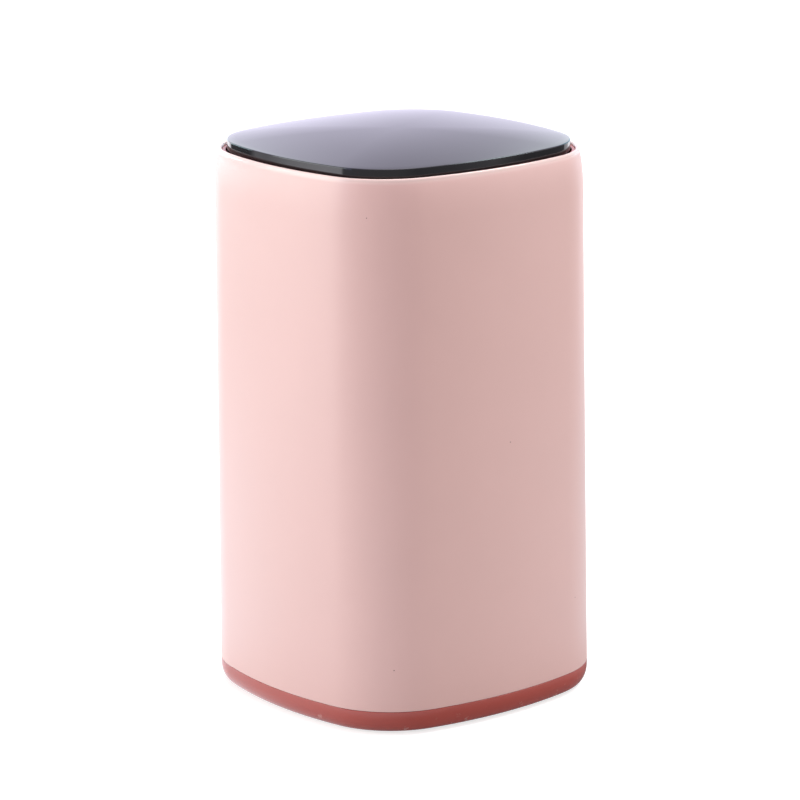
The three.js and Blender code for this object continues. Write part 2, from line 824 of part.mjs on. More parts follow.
// What rises with the lid
const rising = new THREE.Group();
rising.add(
  piece("lid_cap", lidCap(), "blackGloss"),
  piece("lid_insert", lidInsert(), "redPlastic"),
  piece("lid_screw", screwPointingDown(lidScrew), "zincSteel", [0, 0, insertTopZ + seatGap]),
  piece("centre_column", centreColumn(), "redPlastic"),
  piece("pick_tray", pickTray(), "redPlastic"),
  piece("cam_plate", camPlateWithFoot(), "whiteAcetal"),
);
[-1, 1].forEach((side, i) => {
  const number = i + 1;
  standing.add(
    piece(`bracket_screw_${number}`, screwPointingDown(smallScrew), "zincSteel", [
      latchWireX,
      side * bracketScrewOffset,
      bracketTopZ + seatGap,
    ]),
  );
  rising.add(
    piece(`tray_screw_${number}`, screwPointingUp(smallScrew), "zincSteel", [
      0,
      side * trayScrewY,
      flangeBottomZ - seatGap,
    ]),
    piece(`cam_screw_${number}`, screwPointingUp(smallScrew), "zincSteel", [
      camScrewX,
      side * camScrewY,
      camFootZ - seatGap,
    ]),
  );
});

const dispenser = new THREE.Group();
dispenser.add(standing, rising);

export default dispenser;
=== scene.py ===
"""Dresses the press-top toothpick dispenser: moulded shells, gloss lid, hidden works, white studio."""

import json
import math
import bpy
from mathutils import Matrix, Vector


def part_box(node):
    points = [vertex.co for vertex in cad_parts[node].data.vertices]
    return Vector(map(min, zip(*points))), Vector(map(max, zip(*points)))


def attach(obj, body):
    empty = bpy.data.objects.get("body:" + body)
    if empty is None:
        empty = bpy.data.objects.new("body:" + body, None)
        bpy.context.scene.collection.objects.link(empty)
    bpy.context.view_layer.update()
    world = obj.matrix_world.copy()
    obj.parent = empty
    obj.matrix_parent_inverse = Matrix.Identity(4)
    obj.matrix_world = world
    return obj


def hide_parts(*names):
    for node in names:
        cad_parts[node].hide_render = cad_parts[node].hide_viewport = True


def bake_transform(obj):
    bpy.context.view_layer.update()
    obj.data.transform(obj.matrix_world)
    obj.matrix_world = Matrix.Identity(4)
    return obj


bl_info = {
    "name": "Press-top Toothpick Dispenser",
    "version": (1, 0, 0),
    "blender": (4, 5, 0),
    "location": "View3D > Sidebar > Dispenser",
    "description": "Models and finishes a pop-up toothpick dispenser round its packed frame",
    "category": "Object",
}

import bmesh
import bpy
from mathutils import Matrix, Vector

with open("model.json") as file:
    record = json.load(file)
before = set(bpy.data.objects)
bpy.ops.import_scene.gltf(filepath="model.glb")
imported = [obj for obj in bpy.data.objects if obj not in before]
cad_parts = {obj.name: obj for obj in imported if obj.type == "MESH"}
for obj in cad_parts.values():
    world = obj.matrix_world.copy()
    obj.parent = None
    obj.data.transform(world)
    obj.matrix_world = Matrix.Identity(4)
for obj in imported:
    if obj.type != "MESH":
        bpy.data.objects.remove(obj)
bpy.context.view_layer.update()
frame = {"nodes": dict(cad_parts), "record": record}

MM = 0.001
STANDING = "case_and_base"
RISING = "lid_and_tray"
BASE_SCREWS = [f"base_screw_{number}" for number in range(1, 5)]
FOOT_PADS = [f"foot_pad_{number}" for number in range(1, 5)]

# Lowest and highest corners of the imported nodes, which every new piece keeps to
SHELL_LOW, SHELL_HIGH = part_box("outer_shell")
BASE_LOW, BASE_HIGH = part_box("base_tray")
BARREL_LOW, BARREL_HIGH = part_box("inner_barrel")
LID_LOW, LID_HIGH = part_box("lid_cap")
INSERT_LOW, INSERT_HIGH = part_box("lid_insert")
COLUMN_LOW, COLUMN_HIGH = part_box("centre_column")
TRAY_LOW, TRAY_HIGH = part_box("pick_tray")
SPRING_LOW, SPRING_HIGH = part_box("main_spring")

# Roundings of moulded edges and inside corners, from crisp to broad
CRISP, FINE, SOFT, ROUNDED = 0.1 * MM, 0.15 * MM, 0.2 * MM, 0.3 * MM
FULL, DEEP, WIDE, BROAD = 0.4 * MM, 0.5 * MM, 0.6 * MM, 1.5 * MM

# Radii of the screw holes and of the seats for the screws' heads
SMALL_HOLE, BASE_HOLE, WIDE_HOLE = 0.95 * MM, 1.45 * MM, 1.55 * MM
BASE_HEAD, POST_HEAD = 2.75 * MM, 2.95 * MM

# How far a tool runs past what it cuts, and the gap left where pieces meet
OVERRUN = 1 * MM
SEAT_GAP = 0.1 * MM

# How finely the new shells are cut
SIDE_STEPS = 14
CORNER_STEPS = 22
ROUND_STEPS = 144
SMALL_STEPS = 48
FILLET_STEPS = 5
ARC_STEPS = 20
LIP_STEPS = 12
WIRE_STEPS_PER_TURN = 32
WIRE_SIDES = 12
SMOOTH_ANGLE = math.radians(32)
MERGE = 0.0005 * MM
# Decimals of a metre by which a vertex is matched with its point
PLACES = 7


def length(name, description, millimetres):
    """A size that a user may change."""
    return bpy.props.FloatProperty(
        name=name, description=description, default=millimetres * MM, unit="LENGTH", precision=5
    )


def colour(name, description, code):
    """A surface colour that a user may change, given as an sRGB hex value."""
    return bpy.props.FloatVectorProperty(
        name=name, description=description, default=linear(code), subtype="COLOR", size=4, min=0, max=1
    )


def linear(code):
    """Linear RGBA of an sRGB hex value such as E8C4BE."""
    channels = [int(code[i : i + 2], 16) / 255 for i in (0, 2, 4)]
    toe, toe_slope, offset, gamma = 0.04045, 12.92, 0.055, 2.4
    bent = [c / toe_slope if c <= toe else ((c + offset) / (1 + offset)) ** gamma for c in channels]
    return (*bent, 1.0)


class DispenserSizes(bpy.types.PropertyGroup):
    """Sizes of the new pieces, in metres"""

    side_arc: length("Side arc", "Radius of the bowed sides at the seam", 79)
    corner_radius: length("Corner radius", "Radius of the upright corners at the seam", 17.7)
    case_wall: length("Case wall", "Thickness of the pink case", 2)
    case_draft: length("Case draft", "How far the case narrows from its seam to its shoulder", 0.75)
    shoulder_height: length("Shoulder height", "Height of the rounding under the lip", 8.3)
    shoulder_depth: length("Shoulder depth", "How far the shoulder draws in", 1.3)
    lip_land: length("Lip land", "Width between the shoulder's end and the lip's mouth", 0.25)
    lip_round: length("Lip rounding", "Height of the rounded edge that catches the light along the lip", 0.6)
    lip_depth: length("Lip depth", "Height of the lip over the collar's bead", 1.6)
    lip_ledge: length("Lip ledge", "Width of the ledge that the bead catches under", 0.35)
    seam_height: length("Seam height", "Top of the red band over its foot", 4.3)
    seam_gap: length("Seam gap", "Gap between the red band and the case", 0.05)
    foot_tuck: length("Foot tuck", "How far the foot of the base draws in", 1.95)
    foot_round: length("Foot rounding", "Height of the rounding at the foot", 3.3)
    base_floor: length("Base floor", "Thickness of the base", 3)
    tongue_wall: length("Tongue wall", "Thickness of the tongue inside the case", 1.2)
    fit_gap: length("Fit gap", "Gap between pieces that are fitted together", 0.15)
    lid_wall: length("Lid wall", "Thickness of the lid's skirt", 1.4)
    lid_roof: length("Lid roof", "Thickness of the lid's dome", 1.6)
    lid_rise: length("Lid rise", "Height of the lid's edge over the lip", 1.6)
    lid_spread: length("Lid spread", "How far the finished lid stands out past the packed one", 0.08)
    lid_edge: length("Lid edge", "Width of the break along the lid's edge", 0.1)
    collar_wall: length("Collar wall", "Thickness of the collar round the lid", 0.62)
    collar_drop: length("Collar drop", "Depth of the collar's top below the lip", 0.45)
    collar_gap: length("Collar gap", "Gap between the collar and the lip's mouth", 0.03)
    deck: length("Deck", "Thickness of the deck under the lid", 1.8)
    deck_drop: length("Deck drop", "Depth of the deck below the shut lid's skirt", 2.8)
    barrel_radius: length("Barrel radius", "Bore of the barrel that the tray slides in", 23.6)
    barrel_wall: length("Barrel wall", "Thickness of the barrel", 1.6)
    boss_radius: length("Boss radius", "Radius of each screw boss beside the barrel", 2.7)
    boss_height: length("Boss height", "Height of each screw boss", 17)
    groove_width: length("Groove width", "Width of each guide groove", 6)
    groove_depth: length("Groove depth", "Depth of each guide groove", 0.8)
    groove_top: length("Groove top", "Height where the guide grooves end", 88.4)
    tray_wall: length("Tray wall", "Thickness of the tray", 1.3)
    tray_radius: length("Tray radius", "Outer radius of the tray", 23.2)
    tray_floor: length("Tray floor", "Thickness of the tray's floor at the column", 2)
    tray_dish: length("Tray dish", "Rise of the tray's floor to its wall", 3)
    lug_height: length("Lug height", "Height of each guide lug", 12)
    lug_lift: length("Lug lift", "Height of each lug over the tray's underside", 2)
    column_radius: length("Column radius", "Outer radius of the centre column", 6)
    column_bore: length("Column bore", "Radius of the centre column's bore", 4.6)
    column_flange: length("Column flange", "Thickness of the flange under the tray", 2)
    column_flare: length("Column flare", "Length over which the column widens to the hub", 30)
    hub_radius: length("Hub radius", "Radius of the hub under the lid", 8.5)
    spigot_radius: length("Spigot radius", "Radius of the spigot in the hub", 5.5)
    spigot_height: length("Spigot height", "Height of the spigot", 3)
    insert_thickness: length("Insert thickness", "Thickness of the plate inside the lid", 1.8)
    pad_radius: length("Pad radius", "Radius of each rubber pad", 4)
    wire_radius: length("Wire radius", "Radius of the lifting spring's wire", 0.4)
    spring_radius: length("Spring radius", "Mean radius of the lifting spring", 8.4)
    spring_end_pitch: length("Spring end pitch", "Pitch of the close turn at each end", 1.35)
    spring_turns: bpy.props.IntProperty(
        name="Spring turns", description="Turns of the lifting spring", default=9, min=3
    )


class DispenserColours(bpy.types.PropertyGroup):
    """Colours of the surfaces"""

    case_pink: colour("Case pink", "Satin pink of the case", "E1B5AF")
    band_wine: colour("Wine red", "Dark red of the base, collar and inner pieces", "AB493F")
    lid_black: colour("Lid black", "Gloss black of the lid", "0C0B0F")
    acetal_white: colour("Acetal white", "Natural white of the sliding pieces", "E9E6DF")
    zinc: colour("Zinc", "Bright zinc of the screws", "B9BCC0")
    spring_steel: colour("Spring steel", "Drawn wire of the springs", "8D9095")
    pad_rubber: colour("Pad rubber", "Dark grey of the foot pads", "3A3838")


def sizes():
    return bpy.context.scene.dispenser_sizes


def colours():
    return bpy.context.scene.dispenser_colours


def square_outline(half):
    """Rounded square with bowed sides, as an even offset of the case's own outline, in metres."""
    size = sizes()
    inset = SHELL_HIGH.x - half
    side, corner = size.side_arc - inset, size.corner_radius - inset
    side_centre = SHELL_HIGH.x - size.side_arc
    between = size.side_arc - size.corner_radius
    corner_centre = (side_centre + math.sqrt(2 * between**2 - side_centre**2)) / 2
    meet = math.atan2(corner_centre, corner_centre - side_centre)
    quarter = []
    for i in range(SIDE_STEPS):
        angle = -meet + 2 * meet * i / SIDE_STEPS
        quarter.append((side_centre + side * math.cos(angle), side * math.sin(angle)))
    for i in range(CORNER_STEPS):
        angle = meet + (math.pi / 2 - 2 * meet) * i / CORNER_STEPS
        quarter.append((corner_centre + corner * math.cos(angle), corner_centre + corner * math.sin(angle)))
    points = []
    for turn in range(4):
        cosine, sine = math.cos(turn * math.pi / 2), math.sin(turn * math.pi / 2)
        points += [(x * cosine - y * sine, x * sine + y * cosine) for x, y in quarter]
    return points


def square_ring(half, z, scale=1.0):
    return [Vector((x * scale, y * scale, z)) for x, y in square_outline(half)]


def round_ring(radius, z):
    """Circle whose points lie at the same bearings as a square ring's, so that the two can be joined."""
    flat = [Vector((x, y, 0)).normalized() * radius for x, y in square_outline(SHELL_HIGH.x)]
    return [point + Vector((0, 0, z)) for point in flat]


def even_ring(radius, z, steps):
    angles = [2 * math.pi * i / steps for i in range(steps)]
    return [Vector((radius * math.cos(a), radius * math.sin(a), z)) for a in angles]


def softened(corners, closed):
    """Profile of (kind, width, height), with an arc in place of each corner that has a rounding.

    Each corner is (kind, width, height, rounding). The ends of an open profile stay sharp.
    """
    count = len(corners)
    points = []
    for i, (kind, width, z, rounding) in enumerate(corners):
        before, after = corners[i - 1], corners[(i + 1) % count]
        at_end = not closed and i in (0, count - 1)
        if not rounding or at_end:
            points.append((kind, width, z))
            continue
        here = Vector((width, z))
        to_before, to_after = Vector(before[1:3]) - here, Vector(after[1:3]) - here
        reach = min(rounding, to_before.length / 2, to_after.length / 2)
        first, last = here + to_before.normalized() * reach, here + to_after.normalized() * reach
        for step in range(FILLET_STEPS + 1):
            t = step / FILLET_STEPS
            point = first * (1 - t) ** 2 + here * 2 * t * (1 - t) + last * t**2
            points.append((kind, point.x, point.y))
    return points


def deselect_all():
    bpy.ops.object.select_all(action="DESELECT")


def activate(piece):
    deselect_all()
    piece.select_set(True)
    bpy.context.view_layer.objects.active = piece


def place_selected(piece, ring, before=None):
    """Move the selected ring of vertices onto the points of ring.

    Each vertex is known by the point of the ring before that it stands on, or by its order in a new circle.
    """
    mesh = bmesh.from_edit_mesh(piece.data)
    chosen = [v for v in mesh.verts if v.select]
    if before:
        order = {point.to_tuple(PLACES): i for i, point in enumerate(before)}
        chosen.sort(key=lambda v: order[v.co.to_tuple(PLACES)])
    for vertex, point in zip(chosen, ring, strict=True):
        vertex.co = point
    bmesh.update_edit_mesh(piece.data)


def cap_selected(piece):
    """Close the selected ring by an extrusion merged at its middle, and leave the ring selected."""
    mesh = bmesh.from_edit_mesh(piece.data)
    kept = [v.index for v in mesh.verts if v.select]
    bpy.ops.mesh.extrude_region_move()
    bpy.ops.mesh.merge(type="CENTER")
    bpy.ops.mesh.select_all(action="DESELECT")
    mesh = bmesh.from_edit_mesh(piece.data)
    mesh.verts.ensure_lookup_table()
    for index in kept:
        mesh.verts[index].select = True
    mesh.select_flush(True)
    bmesh.update_edit_mesh(piece.data)


def draw_up(name, rings, closed):
    """Solid made by extruding one ring of edges through the rings of its profile.

    A closed profile comes back to its first ring. An open one is capped by a pole at each end.
    """
    deselect_all()
    start = rings[0]
    bpy.ops.mesh.primitive_circle_add(vertices=len(start), radius=start[0].length, location=(0, 0, 0))
    piece = bpy.context.object
    piece.name = name
    bpy.ops.object.mode_set(mode="EDIT")
    bpy.ops.mesh.select_mode(type="VERT")
    bpy.ops.mesh.select_all(action="SELECT")
    place_selected(piece, start)
    if not closed:
        cap_selected(piece)
    before = start
    for ring in rings[1:] + ([start] if closed else []):
        bpy.ops.mesh.extrude_region_move()
        place_selected(piece, ring, before)
        before = ring
    if not closed:
        cap_selected(piece)
    bpy.ops.mesh.select_all(action="SELECT")
    bpy.ops.mesh.remove_doubles(threshold=MERGE)
    bpy.ops.mesh.normals_make_consistent(inside=False)
    bpy.ops.object.mode_set(mode="OBJECT")
    return piece


def shell(name, corners, closed=True):
    """Solid through square and round rings, from (kind, width, height, rounding) corners."""
    makers = {"square": square_ring, "round": round_ring}
    rings = [makers[kind](width, z) for kind, width, z in softened(corners, closed)]
    return draw_up(name, rings, closed)


def turned(name, corners, closed=True, steps=ROUND_STEPS):
    """Solid turned about the upright axis from (radius, height, rounding) corners."""
    profile = softened([("round", *corner) for corner in corners], closed)
    return draw_up(name, [even_ring(radius, z, steps) for _, radius, z in profile], closed)


def copied(piece, name):
    """Copy of a piece, with a mesh of its own."""
    copy = piece.copy()
    copy.data = piece.data.copy()
    copy.name = name
    bpy.context.collection.objects.link(copy)
    return copy


def move_mesh(piece, offset):
    activate(piece)
    bpy.ops.object.mode_set(mode="EDIT")
    bpy.ops.mesh.select_all(action="SELECT")
    bpy.ops.transform.translate(value=offset)
    bpy.ops.object.mode_set(mode="OBJECT")


def spread_out(piece, names, places):
    """The piece, and copies of it under the names after its own, each moved sideways to its place."""
    pieces = [piece] + [copied(piece, name) for name in names[1:]]
    for one, place in zip(pieces, places, strict=True):
        move_mesh(one, (place.x, place.y, 0))
    return pieces


def bars_at(places, low, steps):
    """Upright round bars at some places, from a height up through steps of (radius, top).

    Each end closes from a small circle, a share of the bar's radius.
    """
    pole_share = 1 / 8
    corners = [(steps[0][0] * pole_share, low, 0)]
    for radius, top in steps:
        corners += [(radius, low, 0), (radius, top, 0)]
        low = top
    corners.append((steps[-1][0] * pole_share, low, 0))
    bar = turned("bar", corners, closed=False, steps=SMALL_STEPS)
    return spread_out(bar, ["bar"] * len(places), places)


def blocks_round(low, high, edge, turns):
    """Boxes with bevelled edges, each turned about the upright axis by its number of quarter turns."""
    deselect_all()
    bpy.ops.mesh.primitive_cube_add(size=1, location=(0, 0, 0))
    block = bpy.context.object
    bpy.ops.object.mode_set(mode="EDIT")
    bpy.ops.mesh.select_all(action="SELECT")
    bpy.ops.transform.resize(value=high - low)
    bpy.ops.transform.translate(value=(low + high) / 2)
    if edge:
        bpy.ops.mesh.bevel(offset=edge, segments=3, affect="EDGES")
    bpy.ops.object.mode_set(mode="OBJECT")
    blocks = [block] + [copied(block, "block") for _ in turns[1:]]
    for one, turn in zip(blocks, turns, strict=True):
        one.data.transform(Matrix.Rotation(turn * math.pi / 2, 4, "Z"))
    return blocks


def combine(piece, tools, operation):
    """Join or cut piece with two or more tools that stand clear of each other, and remove them."""
    activate(tools[0])
    for tool in tools[1:]:
        tool.select_set(True)
    bpy.ops.object.join()
    activate(piece)
    modifier = piece.modifiers.new(operation.lower(), "BOOLEAN")
    modifier.operation = operation
    modifier.solver = "EXACT"
    modifier.object = tools[0]
    bpy.ops.object.modifier_apply(modifier=modifier.name)
    bpy.data.objects.remove(tools[0])


def places_of(*nodes):
    """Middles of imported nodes."""
    return [sum(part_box(node), Vector()) / 2 for node in nodes]


def dress(piece, slot, node, body=None, make=None):
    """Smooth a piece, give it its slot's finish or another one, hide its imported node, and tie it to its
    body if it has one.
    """
    activate(piece)
    bpy.ops.object.shade_smooth_by_angle(angle=SMOOTH_ANGLE)
    piece.data.materials.clear()
    piece.data.materials.append(material_once(make or FINISHES[slot]))
    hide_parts(node)
    if body:
        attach(piece, body)


def add_node(tree, kind, inputs=(), output=None, **settings):
    """Add a node with its settings, give its inputs values or links, and return one of its outputs.

    Inputs come by name, or in the order of those in use. The output is the first in use if none is named.
    """
    node = tree.nodes.new("ShaderNode" + kind)
    for name, value in settings.items():
        setattr(node, name, value)
    if isinstance(inputs, dict):
        given = [(node.inputs[name], value) for name, value in inputs.items()]
    else:
        given = zip([socket for socket in node.inputs if socket.enabled], inputs)
    for socket, value in given:
        if isinstance(value, bpy.types.NodeSocket):
            tree.links.new(value, socket)
        else:
            socket.default_value = value
    if output:
        return node.outputs[output]
    return next((socket for socket in node.outputs if socket.enabled), None)


def new_material(name):
    """Material with an empty node tree, and its object coordinates."""
    material = bpy.data.materials.new(name)
    material.use_nodes = True
    tree = material.node_tree
    tree.nodes.clear()
    return material, tree, add_node(tree, "TexCoord", output="Object")


def material_once(make):
    """The material of the same name as its maker, made only once."""
    return bpy.data.materials.get(make.__name__) or make()


def per_mm(millimetres):
    """Texture scale at which one feature is about that many millimetres wide."""
    return 1 / (millimetres * MM)


def clouded(tree, clouds, tone, spread):
    """Colour that clouds make darker and lighter by a share of it."""
    factors = (1 - spread, 1 + spread)
    darker, lighter = ((*(channel * factor for channel in tone[:3]), 1.0) for factor in factors)
    return add_node(tree, "Mix", (clouds, darker, lighter), data_type="RGBA")


def speckled(tree, place, base, tone, spacing_mm, radius_mm, share, fading=None):
    """Scattered specks: a share of cells of the given spacing holds one each.

    With fading, (start, end, strength), they are ragged and fade out between two heights.
    """
    where = place
    if fading:
        ragged_mm, ragged_reach = 0.7, 2.4 * MM
        ragged = add_node(
            tree, "TexNoise", {"Vector": place, "Scale": per_mm(ragged_mm), "Detail": 4.0}, output="Color"
        )
        where = add_node(tree, "VectorMath", (ragged, (ragged_reach,) * 3, place), operation="MULTIPLY_ADD")
    distance = add_node(tree, "TexVoronoi", {"Vector": where, "Scale": per_mm(spacing_mm)})
    # A speck is whole inside this share of its radius, and fades to its rim
    core_share = 0.6
    near = add_node(
        tree, "MapRange", (distance, core_share * radius_mm / spacing_mm, radius_mm / spacing_mm, 1.0, 0.0)
    )
    drawn = add_node(tree, "SeparateColor", (distance.node.outputs["Color"],), output="Red")
    chosen = add_node(tree, "Math", (drawn, share), operation="LESS_THAN")
    factor = add_node(tree, "Math", (near, chosen), operation="MULTIPLY")
    if fading:
        start_z, end_z, strength = fading
        height = add_node(tree, "SeparateXYZ", (place,), output="Z")
        low = add_node(tree, "MapRange", (height, start_z, end_z, strength, 0.0))
        factor = add_node(tree, "Math", (factor, low), operation="MULTIPLY")
    return add_node(tree, "Mix", (factor, base, tone), data_type="RGBA")


def rubbed_rim(tree, place, base, sheen, start_z, full_z, smoother, highlight_tone, share):
    """Roughness of a rim that hands have rubbed smooth above a height, and its colour turned paler there as
    a painted highlight.
    """
    height = add_node(tree, "SeparateXYZ", (place,), output="Z")
    risen = add_node(tree, "MapRange", (height, start_z, full_z))
    smoothed = add_node(tree, "Mix", (risen, sheen, smoother), data_type="FLOAT")
    # Painted highlight: the rim's colour turns paler above the height
    painted_highlight = add_node(tree, "Math", (risen, share), operation="MULTIPLY")
    highlighted = add_node(tree, "Mix", (painted_highlight, base, highlight_tone), data_type="RGBA")
    return highlighted, smoothed


def moulded_plastic(
    name, tone, roughness, spread, ior=1.54, grain_mm=0.5, grain_depth_mm=0.006, specks=None, rim=None
):
    """Injection-moulded plastic: even colour with faint clouding, spark-eroded grain, and a soft sheen."""
    material, tree, place = new_material(name)
    # Pigment clouds, as poorly mixed masterbatch leaves them
    cloud_mm = 14
    clouds = add_node(tree, "TexNoise", {"Vector": place, "Scale": per_mm(cloud_mm), "Detail": 3.0})
    base = clouded(tree, clouds, tone, spread)
    if specks:
        base = speckled(tree, place, base, **specks)
    # Sink over ribs and bosses makes slow waves in a wall
    sink_mm, sink_depth_mm = 22, 0.25
    sink = add_node(tree, "TexNoise", {"Vector": place, "Scale": per_mm(sink_mm), "Detail": 1.0})
    wavy = add_node(tree, "Bump", {"Height": sink, "Strength": 0.25, "Distance": sink_depth_mm * MM})
    # The grain of a spark-eroded mould is finer than a pixel, so it is drawn coarse enough to show
    grain = add_node(tree, "TexNoise", {"Vector": place, "Scale": per_mm(grain_mm), "Detail": 2.0})
    bump = add_node(
        tree, "Bump", {"Height": grain, "Normal": wavy, "Strength": 0.6, "Distance": grain_depth_mm * MM}
    )
    swing = 0.04
    sheen = add_node(tree, "MapRange", (clouds, 0.0, 1.0, roughness - swing, roughness + swing))
    # A rim rubbed smooth, with a painted highlight in its colour
    if rim:
        base, sheen = rubbed_rim(tree, place, base, sheen, **rim)
    shader = add_node(
        tree, "BsdfPrincipled", {"Base Color": base, "Roughness": sheen, "IOR": ior, "Normal": bump}
    )
    add_node(tree, "OutputMaterial", {"Surface": shader})
    return material


def satin_abs_pink():
    """Satin ABS of the case: pale pink, a soft broad sheen, a few dark specks, and a lip rubbed smooth, its
    colour paler there as a painted highlight.
    """
    rim_start, rim_full = 1.1 * MM, 0.4 * MM
    specks = {"tone": linear("8E6259"), "spacing_mm": 9, "radius_mm": 0.16, "share": 0.35}
    # The lip's smoother roughness is wear; its paler colour is a painted highlight along the lip
    rim = {
        "start_z": SHELL_HIGH.z - rim_start,
        "full_z": SHELL_HIGH.z - rim_full,
        "smoother": 0.2,
        "highlight_tone": linear("F2DAD4"),
        "share": 0.45,
    }
    pink = colours().case_pink
    return moulded_plastic("satin_abs_pink", pink, roughness=0.44, spread=0.02, specks=specks, rim=rim)


def satin_abs_wine():
    """Satin ABS of the collar and the works: dark red, a little lighter where it has been rubbed."""
    wine = colours().band_wine
    specks = {"tone": linear("B77F78"), "spacing_mm": 2.6, "radius_mm": 0.13, "share": 0.3}
    return moulded_plastic("satin_abs_wine", wine, roughness=0.27, spread=0.05, specks=specks)


def foot_flecked_abs_wine():
    """Satin ABS of the base: as the other red pieces, with pale flecks round its foot that fade out with
    height.
    """
    wine = colours().band_wine
    # Pale ragged flecks near the foot, fading out between two heights
    full_to, gone_at, strength = 1.6 * MM, 2.8 * MM, 0.32
    fading = (BASE_LOW.z + full_to, BASE_LOW.z + gone_at, strength)
    specks = {"tone": linear("D9A79C"), "spacing_mm": 2.3, "radius_mm": 0.6, "share": 0.5, "fading": fading}
    return moulded_plastic("foot_flecked_abs_wine", wine, roughness=0.25, spread=0.05, specks=specks)


def acetal_natural_white():
    """Natural acetal of the post, bracket and cam: waxy white with a fine mould grain."""
    return moulded_plastic(
        "acetal_natural_white", colours().acetal_white, roughness=0.35, spread=0.02, ior=1.48, grain_mm=0.6
    )


def moulded_rubber_grey():
    """Thermoplastic rubber of the pads: dark, dull and slightly dusty."""
    rubber = colours().pad_rubber
    dust = {"tone": linear("6B6866"), "spacing_mm": 1.2, "radius_mm": 0.1, "share": 0.4}
    looks = {"roughness": 0.82, "spread": 0.12, "ior": 1.5, "grain_mm": 0.4, "grain_depth_mm": 0.02}
    return moulded_plastic("moulded_rubber_grey", rubber, specks=dust, **looks)


def polished_acrylic_black():
    """Polished black acrylic of the lid: mirror-smooth, with a trace of dust and wiping haze."""
    material, tree, place = new_material("polished_acrylic_black")
    haze_mm, clearest, haziest = 9, 0.03, 0.085
    haze = add_node(tree, "TexNoise", {"Vector": place, "Scale": per_mm(haze_mm), "Detail": 4.0})
    rough = add_node(tree, "MapRange", (haze, 0.0, 1.0, clearest, haziest))
    # Slow waves, as a moulded dome has them
    wave_mm, wave_depth_mm = 30, 0.12
    waves = add_node(tree, "TexNoise", {"Vector": place, "Scale": per_mm(wave_mm), "Detail": 1.0})
    bump = add_node(tree, "Bump", {"Height": waves, "Strength": 0.2, "Distance": wave_depth_mm * MM})
    dust = {"tone": linear("6A6870"), "spacing_mm": 5.5, "radius_mm": 0.1, "share": 0.3}
    base = speckled(tree, place, clouded(tree, haze, colours().lid_black, 0.15), **dust)
    shader = add_node(
        tree, "BsdfPrincipled", {"Base Color": base, "Roughness": rough, "IOR": 1.49, "Normal": bump}
    )
    add_node(tree, "OutputMaterial", {"Surface": shader})
    return material


def streaked_metal(name, tone, roughness, streak_mm, stretch):
    """Metal with fine streaks along one axis, from drawing or turning, and a cloudy plating."""
    material, tree, place = new_material(name)
    laid = add_node(tree, "Mapping", {"Vector": place, "Scale": stretch})
    streaks = add_node(tree, "TexNoise", {"Vector": laid, "Scale": per_mm(streak_mm), "Detail": 3.0})
    swing, streak_depth_mm = 0.08, 0.01
    rough = add_node(tree, "MapRange", (streaks, 0.0, 1.0, roughness - swing, roughness + swing))
    bump = add_node(tree, "Bump", {"Height": streaks, "Strength": 0.3, "Distance": streak_depth_mm * MM})
    base = clouded(tree, streaks, tone, 0.15)
    shader = add_node(
        tree, "BsdfPrincipled", {"Base Color": base, "Metallic": 1.0, "Roughness": rough, "Normal": bump}
    )
    add_node(tree, "OutputMaterial", {"Surface": shader})
    return material


def zinc_plated_steel():
    """Bright zinc plating of the screws, a little cloudy."""
    zinc = colours().zinc
    return streaked_metal("zinc_plated_steel", zinc, roughness=0.34, streak_mm=0.5, stretch=(1, 1, 1))


def drawn_spring_steel():
    """Drawn music wire of the springs, with die lines drawn out upright."""
    steel = colours().spring_steel
    return streaked_metal("drawn_spring_steel", steel, roughness=0.28, streak_mm=0.3, stretch=(1, 1, 0.2))


# The finish of each material slot in the record
FINISHES = {
    "case_pink": satin_abs_pink,
    "plastic_wine": satin_abs_wine,
    "lid_gloss_black": polished_acrylic_black,
    "acetal_white": acetal_natural_white,
    "zinc_steel": zinc_plated_steel,
    "spring_steel": drawn_spring_steel,
    "rubber_pad": moulded_rubber_grey,
}


class DISPENSER_OT_case(bpy.types.Operator):
    """Model the pink case with its shoulder, lip and ledge"""

    bl_idname = "dispenser.case"
    bl_label = "Case"

    def execute(self, context):
        size = sizes()
        half, seam_z, lip_z = SHELL_HIGH.x, SHELL_LOW.z, SHELL_HIGH.z
        lip_half = half - size.case_draft - size.shoulder_depth
        mouth_half = lip_half - size.lip_land
        ledge_half, ledge_z = mouth_half + size.lip_ledge, lip_z - size.lip_depth
        corners = [("square", half - size.case_wall, seam_z, CRISP), ("square", half, seam_z, CRISP)]
        reach = math.asin(1 - size.lip_round / size.shoulder_height)
        for i in range(ARC_STEPS + 1):
            angle = reach * i / ARC_STEPS
            width = lip_half + size.shoulder_depth * math.cos(angle)
            corners.append(("square", width, lip_z - size.shoulder_height * (1 - math.sin(angle)), 0))
        # The lip rolls over from the shoulder to the mouth
        crest = (width + mouth_half) / 2
        for i in range(1, LIP_STEPS + 1):
            angle = math.pi * i / LIP_STEPS
            across = (width - mouth_half) / 2 * math.cos(angle)
            corners.append(("square", crest + across, lip_z - size.lip_round * (1 - math.sin(angle)), 0))
        corners += [("square", mouth_half, ledge_z, 0), ("square", ledge_half, ledge_z, 0)]
        case = shell("case_shell", corners)
        dress(case, "case_pink", "outer_shell", STANDING)
        return {"FINISHED"}


